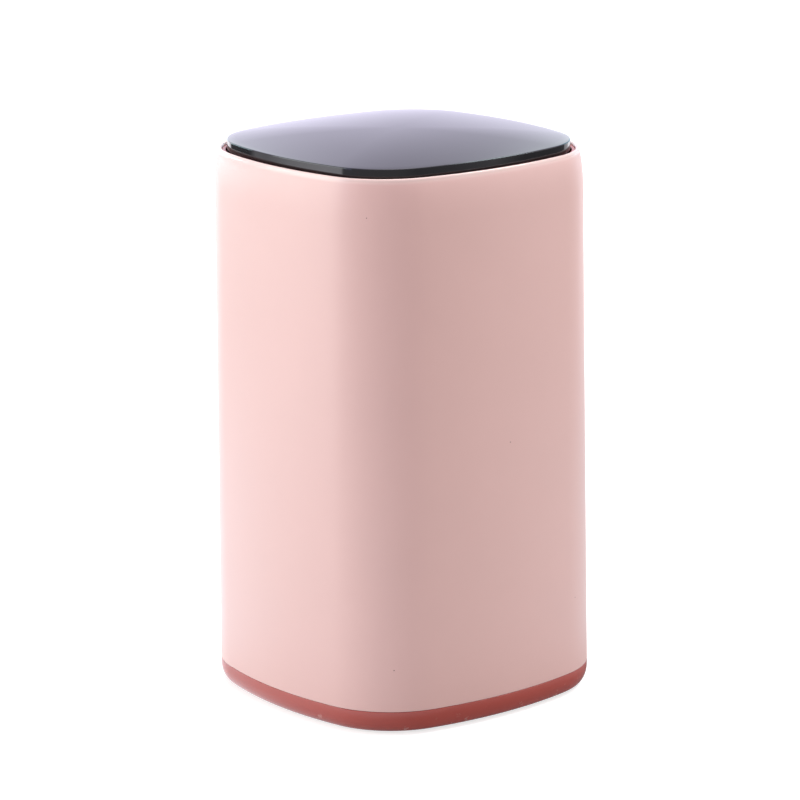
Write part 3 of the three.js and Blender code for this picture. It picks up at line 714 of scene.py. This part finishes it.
class DISPENSER_OT_base(bpy.types.Operator):
    """Model the red base with its band, rounded foot, tongue, seats, recesses and screw holes"""

    bl_idname = "dispenser.base"
    bl_label = "Base"

    def execute(self, context):
        size = sizes()
        half, foot_z, tongue_z = BASE_HIGH.x, BASE_LOW.z, BASE_HIGH.z
        seam_z = foot_z + size.seam_height - size.seam_gap
        floor_z = foot_z + size.base_floor
        tongue_half = half - size.case_wall - size.fit_gap
        pole = 1 * MM
        corners = [("round", pole, foot_z, 0)]
        for i in range(ARC_STEPS + 1):
            angle = math.pi / 2 * i / ARC_STEPS
            width = half - size.foot_tuck * (1 - math.sin(angle))
            corners.append(("square", width, foot_z + size.foot_round * (1 - math.cos(angle)), 0))
        corners += [
            ("square", half, seam_z, CRISP),
            ("square", tongue_half, seam_z, 0),
            ("square", tongue_half, tongue_z, DEEP),
            ("square", tongue_half - size.tongue_wall, tongue_z, CRISP),
            ("square", tongue_half - size.tongue_wall, floor_z, DEEP),
            ("round", pole, floor_z, 0),
        ]
        base = shell("base_band", corners, closed=False)
        self.raise_seats(base, floor_z)
        self.cut_recesses(base, foot_z, floor_z)
        dress(base, "plastic_wine", "base_tray", STANDING, foot_flecked_abs_wine)
        return {"FINISHED"}

    def raise_seats(self, base, floor_z):
        """Raise the four seats that the barrel's bosses stand on, and the cup round the spring's foot."""
        size = sizes()
        seat_radius, seat_height, sunk = 4.2 * MM, 1.6 * MM, 0.3 * MM
        cup_wall, cup_height, cup_gap = 1.2 * MM, 2.6 * MM, 0.5 * MM
        under = floor_z - sunk
        seats = bars_at(places_of(*BASE_SCREWS), under, [(seat_radius, floor_z + seat_height)])
        cup_bore = size.spring_radius + size.wire_radius + cup_gap
        cup_corners = [
            (cup_bore, under, 0),
            (cup_bore + cup_wall, under, 0),
            (cup_bore + cup_wall, floor_z + cup_height, FULL),
            (cup_bore, floor_z + cup_height, FULL),
        ]
        combine(base, [*seats, turned("cup", cup_corners)], "UNION")

    def cut_recesses(self, base, foot_z, floor_z):
        """Sink the pads' seats, the screws' seats and holes, and the round marks of the ejector pins."""
        size = sizes()
        pad_seat, head_seat, post_seat = 0.9 * MM, 2.5 * MM, 1.25 * MM
        blind, through = 1 * MM, 3 * MM
        mark_radius, mark_depth, mark_reach = 1.6 * MM, 0.12 * MM, 13 * MM
        start, top = foot_z - OVERRUN, floor_z + through
        base_steps = [(size.pad_radius + size.fit_gap, foot_z + pad_seat), (BASE_HEAD, foot_z + head_seat)]
        tools = bars_at(places_of(*BASE_SCREWS), start, [*base_steps, (BASE_HOLE, top)])
        tools += bars_at([Vector()], start, [(POST_HEAD, foot_z + post_seat), (WIDE_HOLE, top)])
        bracket_screws = places_of("bracket_screw_1", "bracket_screw_2")
        tools += bars_at(bracket_screws, foot_z + blind, [(SMALL_HOLE, top)])
        quarter_turns = [Matrix.Rotation(turn * math.pi / 2, 3, "Z") for turn in range(4)]
        marks = [rotation @ Vector((mark_reach, 0, 0)) for rotation in quarter_turns]
        tools += bars_at(marks, start, [(mark_radius, foot_z + mark_depth)])
        combine(base, tools, "DIFFERENCE")


class DISPENSER_OT_pads(bpy.types.Operator):
    """Model the four rubber pads with a rounded rim and grip rings"""

    bl_idname = "dispenser.pads"
    bl_label = "Foot pads"

    def execute(self, context):
        size = sizes()
        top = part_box("foot_pad_1")[1].z
        rings, ring_width, ring_depth, pole = 3, 0.45 * MM, 0.12 * MM, 0.2 * MM
        corners = [(pole, 0, 0)]
        for ring in range(1, rings + 1):
            radius = ring * size.pad_radius / (rings + 1)
            corners += [
                (radius - ring_width, 0, 0),
                (radius - ring_width / 2, ring_depth, 0),
                (radius + ring_width / 2, ring_depth, 0),
                (radius + ring_width, 0, 0),
            ]
        corners += [(size.pad_radius, 0, FULL), (size.pad_radius, top, 0), (pole, top, 0)]
        names = [node.replace("foot_pad", "rubber_pad") for node in FOOT_PADS]
        first = turned(names[0], corners, closed=False, steps=SMALL_STEPS * 2)
        for pad, node in zip(spread_out(first, names, places_of(*FOOT_PADS)), FOOT_PADS, strict=True):
            dress(pad, "rubber_pad", node, STANDING)
        return {"FINISHED"}


class DISPENSER_OT_barrel(bpy.types.Operator):
    """Model the barrel with its collar, bead, deck, bosses and guide grooves"""

    bl_idname = "dispenser.barrel"
    bl_label = "Barrel and collar"

    def execute(self, context):
        size = sizes()
        low_z, lip_z, bead_half = BARREL_LOW.z, SHELL_HIGH.z, BARREL_HIGH.x
        lip_half = SHELL_HIGH.x - size.case_draft - size.shoulder_depth
        collar_z = lip_z - size.collar_drop
        collar_half = lip_half - size.lip_land - size.collar_gap
        inner_half = collar_half - size.collar_wall
        deck_z = LID_LOW.z - size.deck_drop
        bead_height = 2 * MM
        bead_top = lip_z - size.lip_depth - SEAT_GAP
        bead_low = bead_top - bead_height
        outer = size.barrel_radius + size.barrel_wall
        corners = [
            ("round", outer, low_z, 0),
            ("round", outer, deck_z - size.deck, 0),
            ("square", collar_half, deck_z - size.deck, 0),
            ("square", collar_half, bead_low, 0),
            ("square", bead_half, bead_low + (bead_half - collar_half), 0),
            ("square", bead_half, bead_top, 0),
            ("square", collar_half, bead_top, 0),
            ("square", collar_half, collar_z, FINE),
            ("square", inner_half, collar_z, FINE),
            ("square", inner_half, deck_z, DEEP),
            ("round", size.barrel_radius + DEEP, deck_z, 0),
            ("round", size.barrel_radius, deck_z - DEEP, 0),
            ("round", size.barrel_radius, low_z, 0),
        ]
        barrel = shell("barrel_and_collar", corners)
        self.add_bosses(barrel, low_z)
        self.cut_grooves(barrel, low_z)
        dress(barrel, "plastic_wine", "inner_barrel", STANDING)
        return {"FINISHED"}

    def add_bosses(self, barrel, low_z):
        """Stand the four screw bosses beside the barrel, each with a web to it."""
        size = sizes()
        web_half, web_drop, web_sunk = 1.2 * MM, 0.4 * MM, 1 * MM
        places = places_of(*BASE_SCREWS)
        top_z = low_z + size.boss_height
        combine(barrel, bars_at(places, low_z, [(size.boss_radius, top_z)]), "UNION")
        low = Vector((size.barrel_radius + size.barrel_wall / 2, -web_half, low_z))
        high = Vector((places[0].xy.length - web_sunk, web_half, top_z - web_drop))
        combine(barrel, blocks_round(low, high, 0, (0.5, 1.5, 2.5, 3.5)), "UNION")

    def cut_grooves(self, barrel, low_z):
        """Cut the guide grooves for the tray's lugs, and the screw holes in the bosses."""
        size = sizes()
        boss_roof = 1 * MM
        under, hole_z = low_z - OVERRUN, low_z + size.boss_height - boss_roof
        holes = bars_at(places_of(*BASE_SCREWS), under, [(BASE_HOLE, hole_z)])
        low = Vector((size.barrel_radius / 2, -size.groove_width / 2, under))
        high = Vector((size.barrel_radius + size.groove_depth, size.groove_width / 2, size.groove_top))
        combine(barrel, holes + blocks_round(low, high, 0, range(4)), "DIFFERENCE")


class DISPENSER_OT_lid(bpy.types.Operator):
    """Model the gloss lid with its dome, crisp edge and skirt"""

    bl_idname = "dispenser.lid"
    bl_label = "Lid"

    def execute(self, context):
        size = sizes()
        half, bottom, top = LID_HIGH.x + size.lid_spread, LID_LOW.z, LID_HIGH.z
        edge_z = SHELL_HIGH.z + size.lid_rise
        roof_z, crown = edge_z - size.lid_roof, top - edge_z
        inner_half, edge_half = half - size.lid_wall, half - size.lid_edge
        rings = [*self.dome_rings(inner_half, roof_z, crown), square_ring(inner_half, roof_z)]
        # The last corner goes on up the dome, and only gives the edge's rounding its direction
        lead, rim_slope = 2 * size.lid_edge, 2 * crown / half
        skirt = [
            ("square", inner_half, roof_z, 0),
            ("square", inner_half, bottom, SOFT),
            ("square", half, bottom, SOFT),
            ("square", half, edge_z - size.lid_edge, CRISP),
            ("square", edge_half, edge_z, CRISP),
            ("square", edge_half - lead, edge_z + rim_slope * lead, 0),
        ]
        rings += [square_ring(width, z) for _, width, z in softened(skirt, closed=False)[1:-1]]
        rings += reversed(self.dome_rings(edge_half, edge_z, crown))
        lid = draw_up("gloss_lid", rings, closed=False)
        dress(lid, "lid_gloss_black", "lid_cap", RISING)
        return {"FINISHED"}

    def dome_rings(self, half, rim_z, crown):
        """Rings of a parabolic dome over its rim, from next to its pole outward."""
        shares = [i / ARC_STEPS for i in range(1, ARC_STEPS)]
        return [square_ring(half, rim_z + crown * (1 - share**2), share) for share in shares]


class DISPENSER_OT_insert(bpy.types.Operator):
    """Model the plate inside the lid, with its hub and the ribs on its underside"""

    bl_idname = "dispenser.insert"
    bl_label = "Lid plate"

    def execute(self, context):
        size = sizes()
        half, low_z, top_z = INSERT_HIGH.x, INSERT_LOW.z, INSERT_HIGH.z
        plate_z = top_z - size.insert_thickness
        socket_radius = size.spigot_radius + size.fit_gap
        socket_z = low_z + size.spigot_height
        hub_skirt = 2 * MM
        corners = [
            ("round", socket_radius, low_z, SOFT),
            ("round", size.hub_radius, low_z, ROUNDED),
            ("round", size.hub_radius, plate_z, WIDE),
            ("round", size.hub_radius + hub_skirt, plate_z, 0),
            ("square", half, plate_z, SOFT),
            ("square", half, top_z, SOFT),
            ("round", size.hub_radius, top_z, 0),
            ("round", WIDE_HOLE, top_z, 0),
            ("round", WIDE_HOLE, socket_z, 0),
            ("round", socket_radius, socket_z, 0),
        ]
        plate = shell("lid_plate", corners)
        rib_half, rib_depth, rib_reach = 0.5 * MM, 1.4 * MM, 22 * MM
        hub_sunk, rib_sunk = 1 * MM, 0.5 * MM
        low = Vector((size.hub_radius - hub_sunk, -rib_half, plate_z - rib_depth))
        high = Vector((rib_reach, rib_half, plate_z + rib_sunk))
        combine(plate, blocks_round(low, high, FINE, [turn / 2 for turn in range(8)]), "UNION")
        dress(plate, "plastic_wine", "lid_insert", RISING)
        return {"FINISHED"}


class DISPENSER_OT_column(bpy.types.Operator):
    """Model the centre column with its flange, flare and spigot"""

    bl_idname = "dispenser.column"
    bl_label = "Centre column"

    def execute(self, context):
        size = sizes()
        low_z, top_z, flange_radius = COLUMN_LOW.z, COLUMN_HIGH.z, COLUMN_HIGH.x
        spring_seat_wall, screw_room = 1.4 * MM, 5 * MM
        hub_z = top_z - size.spigot_height
        flange_low = TRAY_LOW.z - size.column_flange - SEAT_GAP
        flange_top = flange_low + size.column_flange
        ring_radius = size.column_radius + spring_seat_wall
        bore_top = hub_z - screw_room
        corners = [
            (size.column_bore, low_z, SOFT),
            (ring_radius, low_z, ROUNDED),
            (ring_radius, flange_low, ROUNDED),
            (flange_radius, flange_low, ROUNDED),
            (flange_radius, flange_top, ROUNDED),
            (size.column_radius, flange_top, 0),
        ]
        for i in range(ARC_STEPS + 1):
            share = i / ARC_STEPS
            radius = size.column_radius + (size.hub_radius - size.column_radius) * share**2
            corners.append((radius, hub_z - size.column_flare * (1 - share), 0))
        corners += [
            (size.spigot_radius, hub_z, 0),
            (size.spigot_radius, top_z, ROUNDED),
            (WIDE_HOLE, top_z, 0),
            (WIDE_HOLE, bore_top, 0),
            (size.column_bore, bore_top, 0),
        ]
        column = turned("centre_column_fine", corners)
        screws = places_of("tray_screw_1", "tray_screw_2")
        holes = bars_at(screws, flange_low - OVERRUN, [(SMALL_HOLE, flange_top + OVERRUN)])
        combine(column, holes, "DIFFERENCE")
        dress(column, "plastic_wine", "centre_column", RISING)
        return {"FINISHED"}


class DISPENSER_OT_tray(bpy.types.Operator):
    """Model the toothpick tray with its dished floor, rolled rim and guide lugs"""

    bl_idname = "dispenser.tray"
    bl_label = "Toothpick tray"

    def execute(self, context):
        size = sizes()
        low_z, rim_z = TRAY_LOW.z, TRAY_HIGH.z
        bore = size.column_radius + size.fit_gap
        inner = size.tray_radius - size.tray_wall
        lug_gap = 0.3 * MM
        corners = [
            (bore, low_z, SOFT),
            (size.tray_radius, low_z, WIDE),
            (size.tray_radius, rim_z, DEEP),
            (inner, rim_z, DEEP),
            (inner, low_z + size.tray_floor + size.tray_dish, BROAD),
            (bore, low_z + size.tray_floor, ROUNDED),
        ]
        tray = turned("toothpick_tray", corners)
        lug_half = size.groove_width / 2 - lug_gap
        low = Vector((size.tray_radius - size.tray_wall / 2, -lug_half, low_z + size.lug_lift))
        high = Vector((TRAY_HIGH.x, lug_half, low_z + size.lug_lift + size.lug_height))
        combine(tray, blocks_round(low, high, SOFT, range(4)), "UNION")
        holes = []
        for node in ("tray_screw_1", "tray_screw_2", "cam_screw_1", "cam_screw_2"):
            tip_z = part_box(node)[1].z + SEAT_GAP
            holes += bars_at(places_of(node), low_z - OVERRUN, [(SMALL_HOLE, tip_z)])
        combine(tray, holes, "DIFFERENCE")
        dress(tray, "plastic_wine", "pick_tray", RISING)
        return {"FINISHED"}


class DISPENSER_OT_spring(bpy.types.Operator):
    """Wind the lifting spring, which stretches between the base and the column"""

    bl_idname = "dispenser.spring"
    bl_label = "Lifting spring"

    def execute(self, context):
        size = sizes()
        bottom, top = SPRING_LOW.z + size.wire_radius, SPRING_HIGH.z - size.wire_radius
        open_turns = size.spring_turns - 2
        open_pitch = (top - bottom - 2 * size.spring_end_pitch) / open_turns
        path = []
        for i in range(size.spring_turns * WIRE_STEPS_PER_TURN + 1):
            turn = i / WIRE_STEPS_PER_TURN
            opened = min(max(turn - 1, 0), open_turns)
            z = bottom + open_pitch * opened + size.spring_end_pitch * (turn - opened)
            angle = 2 * math.pi * turn
            path.append((size.spring_radius * math.cos(angle), size.spring_radius * math.sin(angle), z, 1))
        deselect_all()
        bpy.ops.curve.primitive_nurbs_path_add(location=(0, 0, 0))
        wire = bpy.context.object
        wire.name = "lifting_spring"
        wire.data.splines.clear()
        spline = wire.data.splines.new("POLY")
        spline.points.add(len(path) - 1)
        for point, place in zip(spline.points, path, strict=True):
            point.co = place
        wire.data.bevel_depth = size.wire_radius
        wire.data.bevel_resolution = WIRE_SIDES // 4
        wire.data.use_fill_caps = True
        bpy.ops.object.convert(target="MESH")
        dress(wire, "spring_steel", "main_spring")
        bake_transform(wire)
        return {"FINISHED"}


class DISPENSER_OT_works(bpy.types.Operator):
    """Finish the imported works: post, cam, bracket, latch wire and screws"""

    bl_idname = "dispenser.works"
    bl_label = "Finish the works"

    def execute(self, context):
        for part in frame["record"]["subparts"]:
            node = frame["nodes"][part["node"]]
            node.data.materials.clear()
            node.data.materials.append(material_once(FINISHES[part["material_slot"]]))
        return {"FINISHED"}


# Camera fitted to the photograph's outlines, in metres, radians and, for its lens, millimetres
CAMERA_DISTANCE = 0.774
CAMERA_ELEVATION = math.radians(13.855)
CAMERA_AZIMUTH = math.radians(38.38)
CAMERA_ROLL = -0.011
CAMERA_SIDE = -0.000187
CAMERA_HEIGHT = 0.05663
CAMERA_LENS = 178.77
# How far it sees, in metres, which is past the table's far corner
CAMERA_FARTHEST = 20

# Softboxes: name, metres to the right, away and up from the dispenser's middle, width, height, watts, tint
LAMPS = (
    ("key_left", -0.9, -0.1, 0.12, 0.7, 0.7, 7.6, (0.84, 0.95, 0.9)),
    ("streak_left", -0.77, -0.46, 0.1, 0.2, 0.7, 1.0, (0.45, 0.55, 1)),
    ("fill_right", 0.9, -0.1, 0.04, 0.7, 0.7, 1.75, (0.92, 0.89, 0.89)),
    ("rim_left", -0.7, 0.5, 0.0, 0.3, 0.14, 1.1, (0.6, 0.95, 1)),
    ("rim_right", 0.62, 0.62, 0.0, 0.18, 0.14, 0.12, (0.7, 0.9, 1)),
    ("top", 0.1, 0.1, 0.9, 0.6, 0.6, 4.2, (1, 0.98, 1)),
    ("lip_light", 0.75, 0.22, 0.92, 0.36, 0.36, 6.6, (0.8, 1, 1)),
)

WHITE = (1, 1, 1, 1)

# Light that the world and the wall give the dispenser, and the world's tint in reflections
AMBIENT, AMBIENT_TINT = 0.61, (1, 0.985, 0.98, 1)
MIRROR_TINT = (1, 0.955, 1.17, 1)

# Reflector wall behind, in metres
WALL_AWAY, WALL_WIDTH, WALL_HEIGHT = 1.2, 3.0, 2.0
# Its brightness in reflections: the least, how much more at its reach, the reach, the power by which it
# rises to there, and how far left of the middle the least lies
WALL_MIDDLE, WALL_RISE, WALL_REACH, WALL_CURVE, WALL_SHIFT = 1.15, 0.86, 0.165, 3.0, 0.015
# Share of it at the table's height, and what a metre of height adds to that
WALL_FOOT, WALL_FALL = 1.05, -0.2
# How much brighter a metre to the left is, and how far from the middle that goes on
WALL_LEAN, WALL_FAR_LEAN = 1.3, 0.1
# Its tint in the middle and at the sides, and where at the right it turns to a cooler one
WALL_TINT, WALL_SIDE_TINT = (1, 0.96, 1.19, 1), (1, 1.05, 1.17, 1)
WALL_FAR, WALL_FAR_TINT = (0.24, 0.34), (0.45, 0.75, 0.95, 1)

# White table: half its width in metres, its paint, and the glow that lifts it to white for the camera
TABLE_HALF, TABLE_PAINT, TABLE_LIFT = 3.0, "BFBDBD", 0.72
# Its tint in reflections, and its brightness there by bearing, in degrees clockwise from straight away
TABLE_TINT = (1, 0.98, 1.04, 1)
TABLE_GLOW = (
    (-180, 0.7), (-114, 0.7), (-110, 3.2), (-98, 3.1), (-84, 2.1), (-72, 1.1), (-66, 1.0), (-63, 0.2),
    (-44, 0.2), (-41, 2.6), (-29, 3.0), (-22, 1.6), (22, 1.3), (28, 2.6), (34, 2.0), (40, 1.3), (50, 1.3),
    (53, 0.24), (92, 0.33), (104, 0.8), (116, 0.6), (135, 0.5), (165, 0.7),
)
# Close to the dispenser it mirrors bright at its left and dim at its right, a little further out cool and
# bright, and past that by bearing. A glow goes from its left to its right value over a turn, in metres to
# the right, and gives way to the next over an end, in metres from the middle
NEAR_TURN, NEAR_GLOW, NEAR_END = (-0.03, 0.005), (1.45, 0.3), (0.042, 0.06)
MIDDLE_TURN, MIDDLE_GLOW, MIDDLE_END = (-0.03, 0.03), (2.1, 1.2), (0.2, 0.34)
MIDDLE_TINT = (0.8, 1, 1.12, 1)


def image_axes():
    """Right, away-from-camera and up directions of the photograph, level with the table."""
    cosine, sine = math.cos(CAMERA_AZIMUTH), math.sin(CAMERA_AZIMUTH)
    return Vector((cosine, -sine, 0)), Vector((sine, cosine, 0)), Vector((0, 0, 1))


def measured_along(tree, place, direction):
    """How far a place lies along a direction."""
    return add_node(tree, "VectorMath", (place, direction), operation="DOT_PRODUCT")


def shown_by_ray(tree, lit, mirrored, seen):
    """Shader that is one to light, another to reflections and clear surfaces, and a third to the camera."""
    rays = add_node(tree, "LightPath").node.outputs
    bounced = (rays["Is Glossy Ray"], rays["Is Transmission Ray"])
    either = add_node(tree, "Math", bounced, operation="MAXIMUM")
    unseen = add_node(tree, "MixShader", (either, lit, mirrored))
    return add_node(tree, "MixShader", (rays["Is Camera Ray"], unseen, seen))


def plane_of(name, half_across, half_up, middle):
    """Flat panel spanned by two half edges about its middle."""
    deselect_all()
    bpy.ops.mesh.primitive_plane_add(size=2, location=(0, 0, 0))
    panel = bpy.context.object
    panel.name = name
    normal = half_across.cross(half_up).normalized()
    spanned = Matrix((half_across, half_up, normal)).transposed().to_4x4()
    panel.data.transform(Matrix.Translation(middle) @ spanned)
    return panel


class DISPENSER_OT_stage(bpy.types.Operator):
    """Set the camera, the white table and surroundings, and the softboxes"""

    bl_idname = "dispenser.stage"
    bl_label = "Stage"

    def execute(self, context):
        self.set_camera(context)
        self.set_world(context)
        self.lay_table()
        self.raise_wall()
        for lamp in LAMPS:
            self.hang_softbox(*lamp)
        context.scene.view_settings.view_transform = "Standard"
        return {"FINISHED"}

    def set_camera(self, context):
        right, away, up = image_axes()
        target = right * CAMERA_SIDE + up * CAMERA_HEIGHT
        ahead = away * math.cos(CAMERA_ELEVATION) - up * math.sin(CAMERA_ELEVATION)
        camera_data = bpy.data.cameras.new("photo_camera")
        camera_data.lens = CAMERA_LENS
        camera_data.clip_end = CAMERA_FARTHEST
        camera = bpy.data.objects.new("photo_camera", camera_data)
        context.scene.collection.objects.link(camera)
        place = target - ahead * CAMERA_DISTANCE
        aim = Matrix((right, right.cross(ahead), -ahead)).transposed().to_4x4()
        camera.matrix_world = Matrix.Translation(place) @ aim @ Matrix.Rotation(CAMERA_ROLL, 4, "Z")
        context.scene.camera = camera

    def set_world(self, context):
        """White to the camera, lilac white in reflections, and plain soft light on everything else."""
        world = bpy.data.worlds.new("white_studio")
        context.scene.world = world
        world.use_nodes = True
        tree = world.node_tree
        tree.nodes.clear()
        ambient = add_node(tree, "Background", (AMBIENT_TINT, AMBIENT))
        mirrored = add_node(tree, "Background", (MIRROR_TINT, WALL_MIDDLE))
        plain = add_node(tree, "Background", (WHITE, 1.0))
        add_node(tree, "OutputWorld", {"Surface": shown_by_ray(tree, ambient, mirrored, plain)})

    def raise_wall(self):
        """Reflector wall behind the dispenser, brighter to both sides, for the lid and rims to mirror."""
        right, away, up = image_axes()
        wall = plane_of("reflector_wall", right * WALL_WIDTH / 2, up * WALL_HEIGHT / 2, away * WALL_AWAY)
        material, tree, place = new_material("reflector_cloth")
        across = measured_along(tree, place, right)
        shifted = add_node(tree, "Math", (across, WALL_SHIFT), operation="ADD")
        sideways = add_node(tree, "Math", (shifted,), operation="ABSOLUTE")
        share = add_node(tree, "Math", (sideways, WALL_REACH), operation="DIVIDE")
        curved = add_node(tree, "Math", (share, WALL_CURVE), operation="POWER")
        capped = add_node(tree, "Math", (curved, 1.0), operation="MINIMUM")
        rise = add_node(tree, "Math", (capped, WALL_RISE, WALL_MIDDLE), operation="MULTIPLY_ADD")
        height = measured_along(tree, place, up)
        fall = add_node(tree, "Math", (height, WALL_FALL, WALL_FOOT), operation="MULTIPLY_ADD")
        level = add_node(tree, "Math", (rise, fall), operation="MULTIPLY")
        most = WALL_LEAN * WALL_FAR_LEAN
        lean = add_node(tree, "MapRange", (across, -WALL_FAR_LEAN, WALL_FAR_LEAN, 1 + most, 1 - most))
        glow = add_node(tree, "Math", (level, lean), operation="MULTIPLY")
        tint = add_node(tree, "Mix", (capped, WALL_TINT, WALL_SIDE_TINT), data_type="RGBA")
        past = add_node(tree, "MapRange", (across, *WALL_FAR))
        cooled = add_node(tree, "Mix", (past, tint, WALL_FAR_TINT), data_type="RGBA")
        lit, seen = (add_node(tree, "Emission", (WHITE, strength)) for strength in (AMBIENT, 1.0))
        mirrored = add_node(tree, "Emission", (cooled, glow))
        add_node(tree, "OutputMaterial", {"Surface": shown_by_ray(tree, lit, mirrored, seen)})
        wall.data.materials.append(material)

    def lay_table(self):
        """White table that keeps a faint shadow, and that reflections show by bearing and distance."""
        right, away, _ = image_axes()
        table = plane_of("white_table", Vector((TABLE_HALF, 0, 0)), Vector((0, TABLE_HALF, 0)), Vector())
        material, tree, place = new_material("white_table_top")
        across, back = (measured_along(tree, place, direction) for direction in (right, away))
        bearing = add_node(tree, "Math", (across, back), operation="ARCTAN2")
        ramp = add_node(tree, "ValToRGB", (add_node(tree, "MapRange", (bearing, -math.pi, math.pi)),))
        stops = ramp.node.color_ramp.elements
        while len(stops) < len(TABLE_GLOW):
            stops.new(0.5)
        brightest = max(glow for _, glow in TABLE_GLOW)
        for stop, (degrees, glow) in zip(stops, TABLE_GLOW, strict=True):
            stop.position = (degrees + 180) / 360
            stop.color = (*[glow / brightest] * 3, 1)
        far_glow = add_node(tree, "Math", (ramp, brightest), operation="MULTIPLY")
        distance = add_node(tree, "VectorMath", (place,), operation="LENGTH")
        past_near = add_node(tree, "MapRange", (distance, *NEAR_END))
        past_middle = add_node(tree, "MapRange", (distance, *MIDDLE_END))
        near_glow = add_node(tree, "MapRange", (across, *NEAR_TURN, *NEAR_GLOW))
        middle_glow = add_node(tree, "MapRange", (across, *MIDDLE_TURN, *MIDDLE_GLOW))
        beyond = add_node(tree, "Mix", (past_middle, middle_glow, far_glow), data_type="FLOAT")
        strength = add_node(tree, "Mix", (past_near, near_glow, beyond), data_type="FLOAT")
        cooled = add_node(tree, "Mix", (past_near, TABLE_TINT, MIDDLE_TINT), data_type="RGBA")
        tint = add_node(tree, "Mix", (past_middle, cooled, TABLE_TINT), data_type="RGBA")
        mirrored = add_node(tree, "Emission", (tint, strength))
        matte = add_node(tree, "BsdfDiffuse", (linear(TABLE_PAINT),))
        seen = add_node(tree, "AddShader", (matte, add_node(tree, "Emission", (WHITE, TABLE_LIFT))))
        add_node(tree, "OutputMaterial", {"Surface": shown_by_ray(tree, matte, mirrored, seen)})
        table.data.materials.append(material)

    def hang_softbox(self, name, across, back, height, width, tall, power, tint):
        """Hang one softbox, turned to the dispenser's middle."""
        right, away, up = image_axes()
        middle = up * CAMERA_HEIGHT
        light = bpy.data.lights.new(name, "AREA")
        light.shape = "RECTANGLE"
        light.size, light.size_y = width, tall
        light.energy = power
        light.color = tint
        lamp = bpy.data.objects.new(name, light)
        lamp.location = middle + right * across + away * back + up * height
        lamp.rotation_euler = (middle - lamp.location).to_track_quat("-Z", "Y").to_euler()
        bpy.context.scene.collection.objects.link(lamp)


STEPS = (
    DISPENSER_OT_stage,
    DISPENSER_OT_case,
    DISPENSER_OT_base,
    DISPENSER_OT_pads,
    DISPENSER_OT_barrel,
    DISPENSER_OT_lid,
    DISPENSER_OT_insert,
    DISPENSER_OT_column,
    DISPENSER_OT_tray,
    DISPENSER_OT_spring,
    DISPENSER_OT_works,
)


class DISPENSER_PT_panel(bpy.types.Panel):
    """Lists the dispenser's pieces, sizes and colours"""

    bl_idname = "DISPENSER_PT_panel"
    bl_label = "Toothpick Dispenser"
    bl_space_type = "VIEW_3D"
    bl_region_type = "UI"
    bl_category = "Dispenser"

    def draw(self, context):
        for step in STEPS:
            self.layout.operator(step.bl_idname)
        for group in (context.scene.dispenser_sizes, context.scene.dispenser_colours):
            box = self.layout.box()
            for name in group.__annotations__:
                box.prop(group, name)


CLASSES = (DispenserSizes, DispenserColours, *STEPS, DISPENSER_PT_panel)


def register():
    for item in CLASSES:
        bpy.utils.register_class(item)
    bpy.types.Scene.dispenser_sizes = bpy.props.PointerProperty(type=DispenserSizes)
    bpy.types.Scene.dispenser_colours = bpy.props.PointerProperty(type=DispenserColours)


def unregister():
    del bpy.types.Scene.dispenser_sizes
    del bpy.types.Scene.dispenser_colours
    for item in reversed(CLASSES):
        bpy.utils.unregister_class(item)


def main():
    register()
    for step in STEPS:
        group, name = step.bl_idname.split(".")
        getattr(getattr(bpy.ops, group), name)()


if __name__ == "__main__":
    main()
